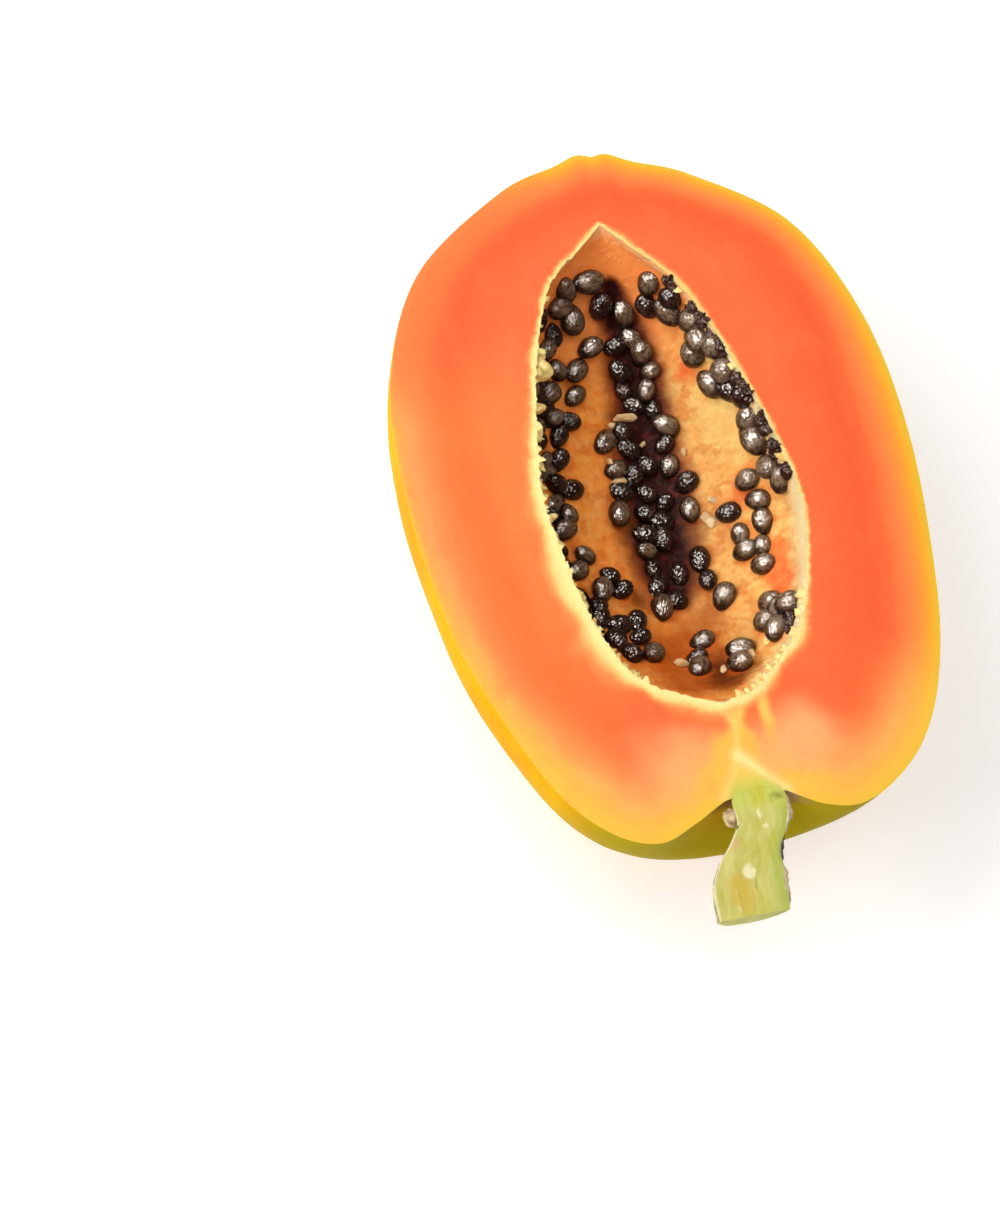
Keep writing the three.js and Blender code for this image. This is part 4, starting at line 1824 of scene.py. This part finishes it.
@dataclass
class Stem:
    """The fruit's half of the stem: a fibrous cut face in thin peeling bark.

    The spine's stations are the distance along the fruit, the middle across it and the half width.
    """

    spine: Outline = Outline(
        (1.1, 0.4, 5.2), (-0.6, 0.2, 6.5), (-5.5, 0.0, 6.3), (-9.3, -2.05, 6.4), (-12.0, -3.95, 6.8),
        (-15.0, -5.6, 7.6), (-20.0, -7.15, 8.5), (-27.0, -7.6, 8.5),
    )
    strips: tuple[BarkStrip, ...] = (
        BarkStrip(-8.0, -26.5, -1, 0.6, 0.5),
        BarkStrip(-0.6, -10.0, 1, 1.5, 0.5),
        # Partly withered bark, partly painted shade: a dark strip in the gap behind the right edge.
        BarkStrip(-9.6, -16.4, 1, 1.2, 0.5, dried_and_shaded=True),
        BarkStrip(-15.6, -26.8, 1, 1.5, 0.7),
    )
    roundness: float = 0.92
    rows: int = 96
    bark_steps: int = 64
    cut_steps: int = 24
    strip_steps: tuple[int, int] = (80, 18)
    fine_places: int = 800
    knob_middle: tuple[float, float, float] = (-7.0, -3.9, -1.5)
    knob_size: tuple[float, float, float] = (1.7, 2.2, 1.5)
    knob_steps: tuple[int, int] = (22, 30)

    def build(self, axes: FruitAxes) -> list[bpy.types.Object]:
        """Makes the stem, its peeling bark and its knob on the given axes."""
        return [self._body(axes), self._peel(axes), self._knob(axes)]

    def _station(self, t: np.ndarray) -> tuple[np.ndarray, np.ndarray, np.ndarray]:
        """The distance along, the middle across and the half width at places t."""
        along, middle, half = np.moveaxis(self.spine.at(t), -1, 0)
        return along, middle, half

    def _bark(self, t: np.ndarray, angle: np.ndarray, share: Any = 1.0) -> np.ndarray:
        """Points round the stem.

        Args:
            t: places along the stem, from 0 at its seat to 1 at its cut end.
            angle: turns below the right edge of its cut face, in radians.
            share: the distance from its middle over the full distance.

        Returns:
            x, y, z of each point.
        """
        t, angle, share = np.broadcast_arrays(t, angle, share)
        along, middle, half = self._station(t)
        cosine, sine = np.cos(angle), np.sin(angle)
        flat = np.stack([middle + half * cosine, along, -half * sine * self.roundness], -1)
        ridge = 0.28 * drift(flat * np.array([1.0, 0.16, 1.0]), 1.3, 3)
        knots = 0.5 * drift(flat, 7.0, 2, 4.0)
        radius = half * share + (ridge + knots) * ease(0.0, 0.12, sine) * share
        depth = -radius * sine * self.roundness
        return np.stack([middle + radius * cosine, along, depth], -1)

    def _body(self, axes: FruitAxes) -> bpy.types.Object:
        """Makes the stem's closed body on the given axes."""
        stack = MeshStack()
        t = np.linspace(0.0, 1.0, self.rows + 1)[:, None]
        angle = np.linspace(0.0, math.pi, self.bark_steps + 1)[None, :]
        stack.add(self._bark(t, angle), 1, margin=1.0, bend=0.0)
        across = np.linspace(-1.0, 1.0, 2 * self.cut_steps + 1)[None, :]
        along, middle, half = self._station(t)
        flat = np.stack(np.broadcast_arrays(middle + half * across, along, 0.0), -1)
        fibres = drift(flat * np.array([1.0, 0.14, 1.0]), 1.1, 3)
        dish = 0.25 * drift(flat, 8.0, 2, 2.0)
        inner = ease(1.0, 0.8, np.abs(across)) * ease(0.0, 0.03, t) * ease(1.0, 0.97, t)
        flat[..., 2] += (0.06 * fibres + dish) * inner + 0.1 * ease(-3.5, 0.0, along)
        stack.add(flat, 0, margin=np.abs(across), bend=middle)
        share = np.linspace(0.0, 1.0, self.cut_steps + 1)[:, None]
        for end in (0.0, 1.0):
            stack.add(self._bark(np.array(end), angle, share), 0, margin=share, bend=0.0)
        materials = [StemCutFinish().material(axes), BarkFinish().material(axes)]
        return stack.build("papaya_stem", materials, axes, sharp=50.0)

    def _peel(self, axes: FruitAxes) -> bpy.types.Object:
        """Makes the bark's loose edges, thin strips that stand along both sides of the cut face."""
        stack = MeshStack()
        for strip in self.strips:
            stack.add(self._strip(strip), int(strip.dried_and_shaded), looped=True)
        pale = BarkFinish("peeling_bark", tone(176, 154, 104), tone(206, 182, 132), peel=0.8)
        # Dark bark, partly withered and partly painted shade in the gap behind the stem's right edge.
        dried_and_shaded = BarkFinish("dried_bark_and_shade", tone(52, 34, 20), tone(92, 62, 38), tone(30, 18, 12), peel=0.0)
        materials = [finish.material(axes) for finish in (pale, dried_and_shaded)]
        return stack.build("stem_peel", materials, axes, sharp=60.0)

    def _strip(self, strip: BarkStrip) -> np.ndarray:
        """The grid of one loose strip of bark, with its sections as looped rows."""
        rows, columns = self.strip_steps
        share = np.linspace(0.0, 1.0, rows)[:, None]
        turn = np.linspace(0.0, 2 * math.pi, columns, endpoint=False)[None, :]
        wanted = strip.start + (strip.end - strip.start) * share
        fine = np.linspace(1.0, 0.0, self.fine_places)
        places = np.interp(wanted[:, 0], self._station(fine)[0], fine)[:, None]
        along, middle, half = self._station(places)
        line = np.stack(np.broadcast_arrays(middle + strip.side * half, along, 0.0), -1)
        taper = np.clip(np.sin(math.pi * share), 0.0, 1.0) ** 0.4
        ragged = 1 + 0.45 * drift(line, 2.2, 3, strip.side)
        reach = strip.stand * ragged * taper
        out = 0.5 * reach * (1 + np.cos(turn)) - 0.4
        up = 0.3 * np.sin(turn) * taper - strip.drop * (0.5 + 0.5 * np.cos(turn)) * taper - 0.1
        return line + np.stack(np.broadcast_arrays(strip.side * out, 0.0, up), -1)

    def _knob(self, axes: FruitAxes) -> bpy.types.Object:
        """Makes the pale knob where a flower's stalk broke off, left of the seat."""
        stack = MeshStack()
        round_ball = ball(*self.knob_steps)
        lumps = 1 + 0.4 * drift(round_ball, 1.2, 2, 2.0)
        local = round_ball * lumps[..., None]
        stack.add(np.array(self.knob_middle) + local * np.array(self.knob_size), looped=True)
        finish = PulpFinish(tone(206, 182, 134), tone(150, 118, 80), "broken_stalk")
        return stack.build("stem_knob", [finish.material(axes)], axes)


# ---- the studio ---------------------------------------------------------------------------------


@dataclass(frozen=True)
class Softbox:
    """A square light: a soft one that shades the fruit, or one that shows as a glint on wet things."""

    name: str
    place: tuple[float, float, float]
    size: float
    power: float
    glint: bool = False
    tint: tuple[float, float, float] = (1.0, 1.0, 1.0)

    def build(self, aim: Vector) -> None:
        """Hangs the light in the scene, turned towards a point in metres."""
        lamp = bpy.data.lights.new(self.name, "AREA")
        lamp.shape = "SQUARE"
        lamp.size = self.size * MM
        lamp.energy = self.power
        lamp.color = self.tint
        holder = bpy.data.objects.new(self.name, lamp)
        holder.visible_diffuse = not self.glint
        holder.visible_glossy = self.glint
        holder.location = Vector(self.place) * MM
        holder.rotation_mode = "QUATERNION"
        holder.rotation_quaternion = (aim - holder.location).to_track_quat("-Z", "Y")
        bpy.context.scene.collection.objects.link(holder)


@dataclass(frozen=True)
class Viewpoint:
    """The camera, by the point that it looks at and how it is turned."""

    aim: tuple[float, float, float] = (-47.28, -17.01, 59.8)
    distance: float = 658.49
    heading: float = 43.325
    down: float = 66.683
    roll: float = 32.387
    lens: float = 85.0

    def build(self) -> None:
        """Places the camera and makes it the scene's own."""
        heading, down, roll = (math.radians(part) for part in (self.heading, self.down, self.roll))
        level = math.cos(down)
        forward = Vector((math.sin(heading) * level, math.cos(heading) * level, -math.sin(down)))
        right = Vector((math.cos(heading), -math.sin(heading), 0.0))
        up = right.cross(forward)
        rolled_right = right * math.cos(roll) + up * math.sin(roll)
        rolled_up = up * math.cos(roll) - right * math.sin(roll)
        camera = bpy.data.cameras.new("camera")
        camera.lens = self.lens
        holder = bpy.data.objects.new("camera", camera)
        turn = Matrix((rolled_right, rolled_up, -forward)).transposed().to_4x4()
        place = (Vector(self.aim) - forward * self.distance) * MM
        holder.matrix_world = Matrix.Translation(place) @ turn
        bpy.context.scene.collection.objects.link(holder)
        bpy.context.scene.camera = holder


@dataclass(frozen=True)
class Studio:
    """A plain white studio: floor, soft light and camera. Only the windows show in wet things."""

    floor_rings: tuple[float, ...] = (0.0, 200.0, 2600.0)
    floor_sides: int = 96
    floor_drop: float = 0.05
    floor_tone: Colour = (0.9, 0.9, 0.9, 1.0)
    floor_glow: float = 0.3
    sky: float = 0.44
    boxes: tuple[Softbox, ...] = (
        Softbox("key", (-380, 240, 600), 320, 1.7),
        Softbox("low_left", (-620, -60, 420), 320, 2.7),
        Softbox("fill", (250, 60, 650), 350, 0.9),
        Softbox("window", (-390, 130, 520), 500, 46.0, True, (1.0, 0.92, 0.84)),
        Softbox("high_window", (-60, 330, 600), 180, 7.0, True, (1.0, 0.94, 0.88)),
    )
    view: Viewpoint = Viewpoint()

    def build(self, axes: FruitAxes) -> None:
        """Sets up the studio round a fruit that lies on the given axes."""
        scene = bpy.context.scene
        scene.view_settings.view_transform = "Standard"
        world = bpy.data.worlds.new("studio")
        world.use_nodes = True
        background = world.node_tree.nodes["Background"]
        background.inputs["Color"].default_value = WHITE
        background.inputs["Strength"].default_value = self.sky
        world.cycles_visibility.glossy = False
        scene.world = world
        for box in self.boxes:
            box.build(Vector((0.0, 0.0, CUT_HEIGHT * MM)))
        self._floor(axes)
        self.view.build()

    def _floor(self, axes: FruitAxes) -> None:
        """Lays the floor under the fruit: round, white, and bright enough to stay pale in shade."""
        turn = np.linspace(0.0, 2 * math.pi, self.floor_sides, endpoint=False)[None, :]
        radius = np.array(self.floor_rings)[:, None]
        parts = (radius * np.cos(turn), radius * np.sin(turn), 0 * radius * turn - self.floor_drop)
        stack = MeshStack()
        stack.add(np.stack(parts, -1) - axes.origin, looped=True)
        graph = Graph("floor", axes)
        material = graph.surface(
            Base_Color=self.floor_tone,
            Roughness=0.8 + graph.speckle(60, 2) * 0.06,
            Specular_IOR_Level=0.0,
            Emission_Color=WHITE,
            Emission_Strength=self.floor_glow,
        )
        floor = stack.build("floor", [material], axes)


# ---- the whole ----------------------------------------------------------------------------------


def attach(piece: bpy.types.Object, node: str) -> None:
    """Lets a piece ride on the fruit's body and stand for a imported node.

    Args:
        piece: the piece.
        node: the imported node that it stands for.
    """
    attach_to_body(piece, BODY)
    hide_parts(node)
    log.info("%s: %d faces, for %s", piece.name, len(piece.data.polygons), node)


def main() -> None:
    """Builds the studio and the papaya half in it."""
    logging.basicConfig(level=logging.INFO, format="%(message)s")
    axes = FruitAxes.from_frame()
    Studio().build(axes)
    seeds = Seeds()
    attach(Flesh().build(axes, seeds), "papaya_half")
    for piece in (*seeds.build(axes), CrushedSeeds().build(axes), *Shreds().build(axes)):
        attach(piece, "papaya_half")
    for piece in Stem().build(axes):
        attach(piece, "stem")


if __name__ == "__main__":
    main()
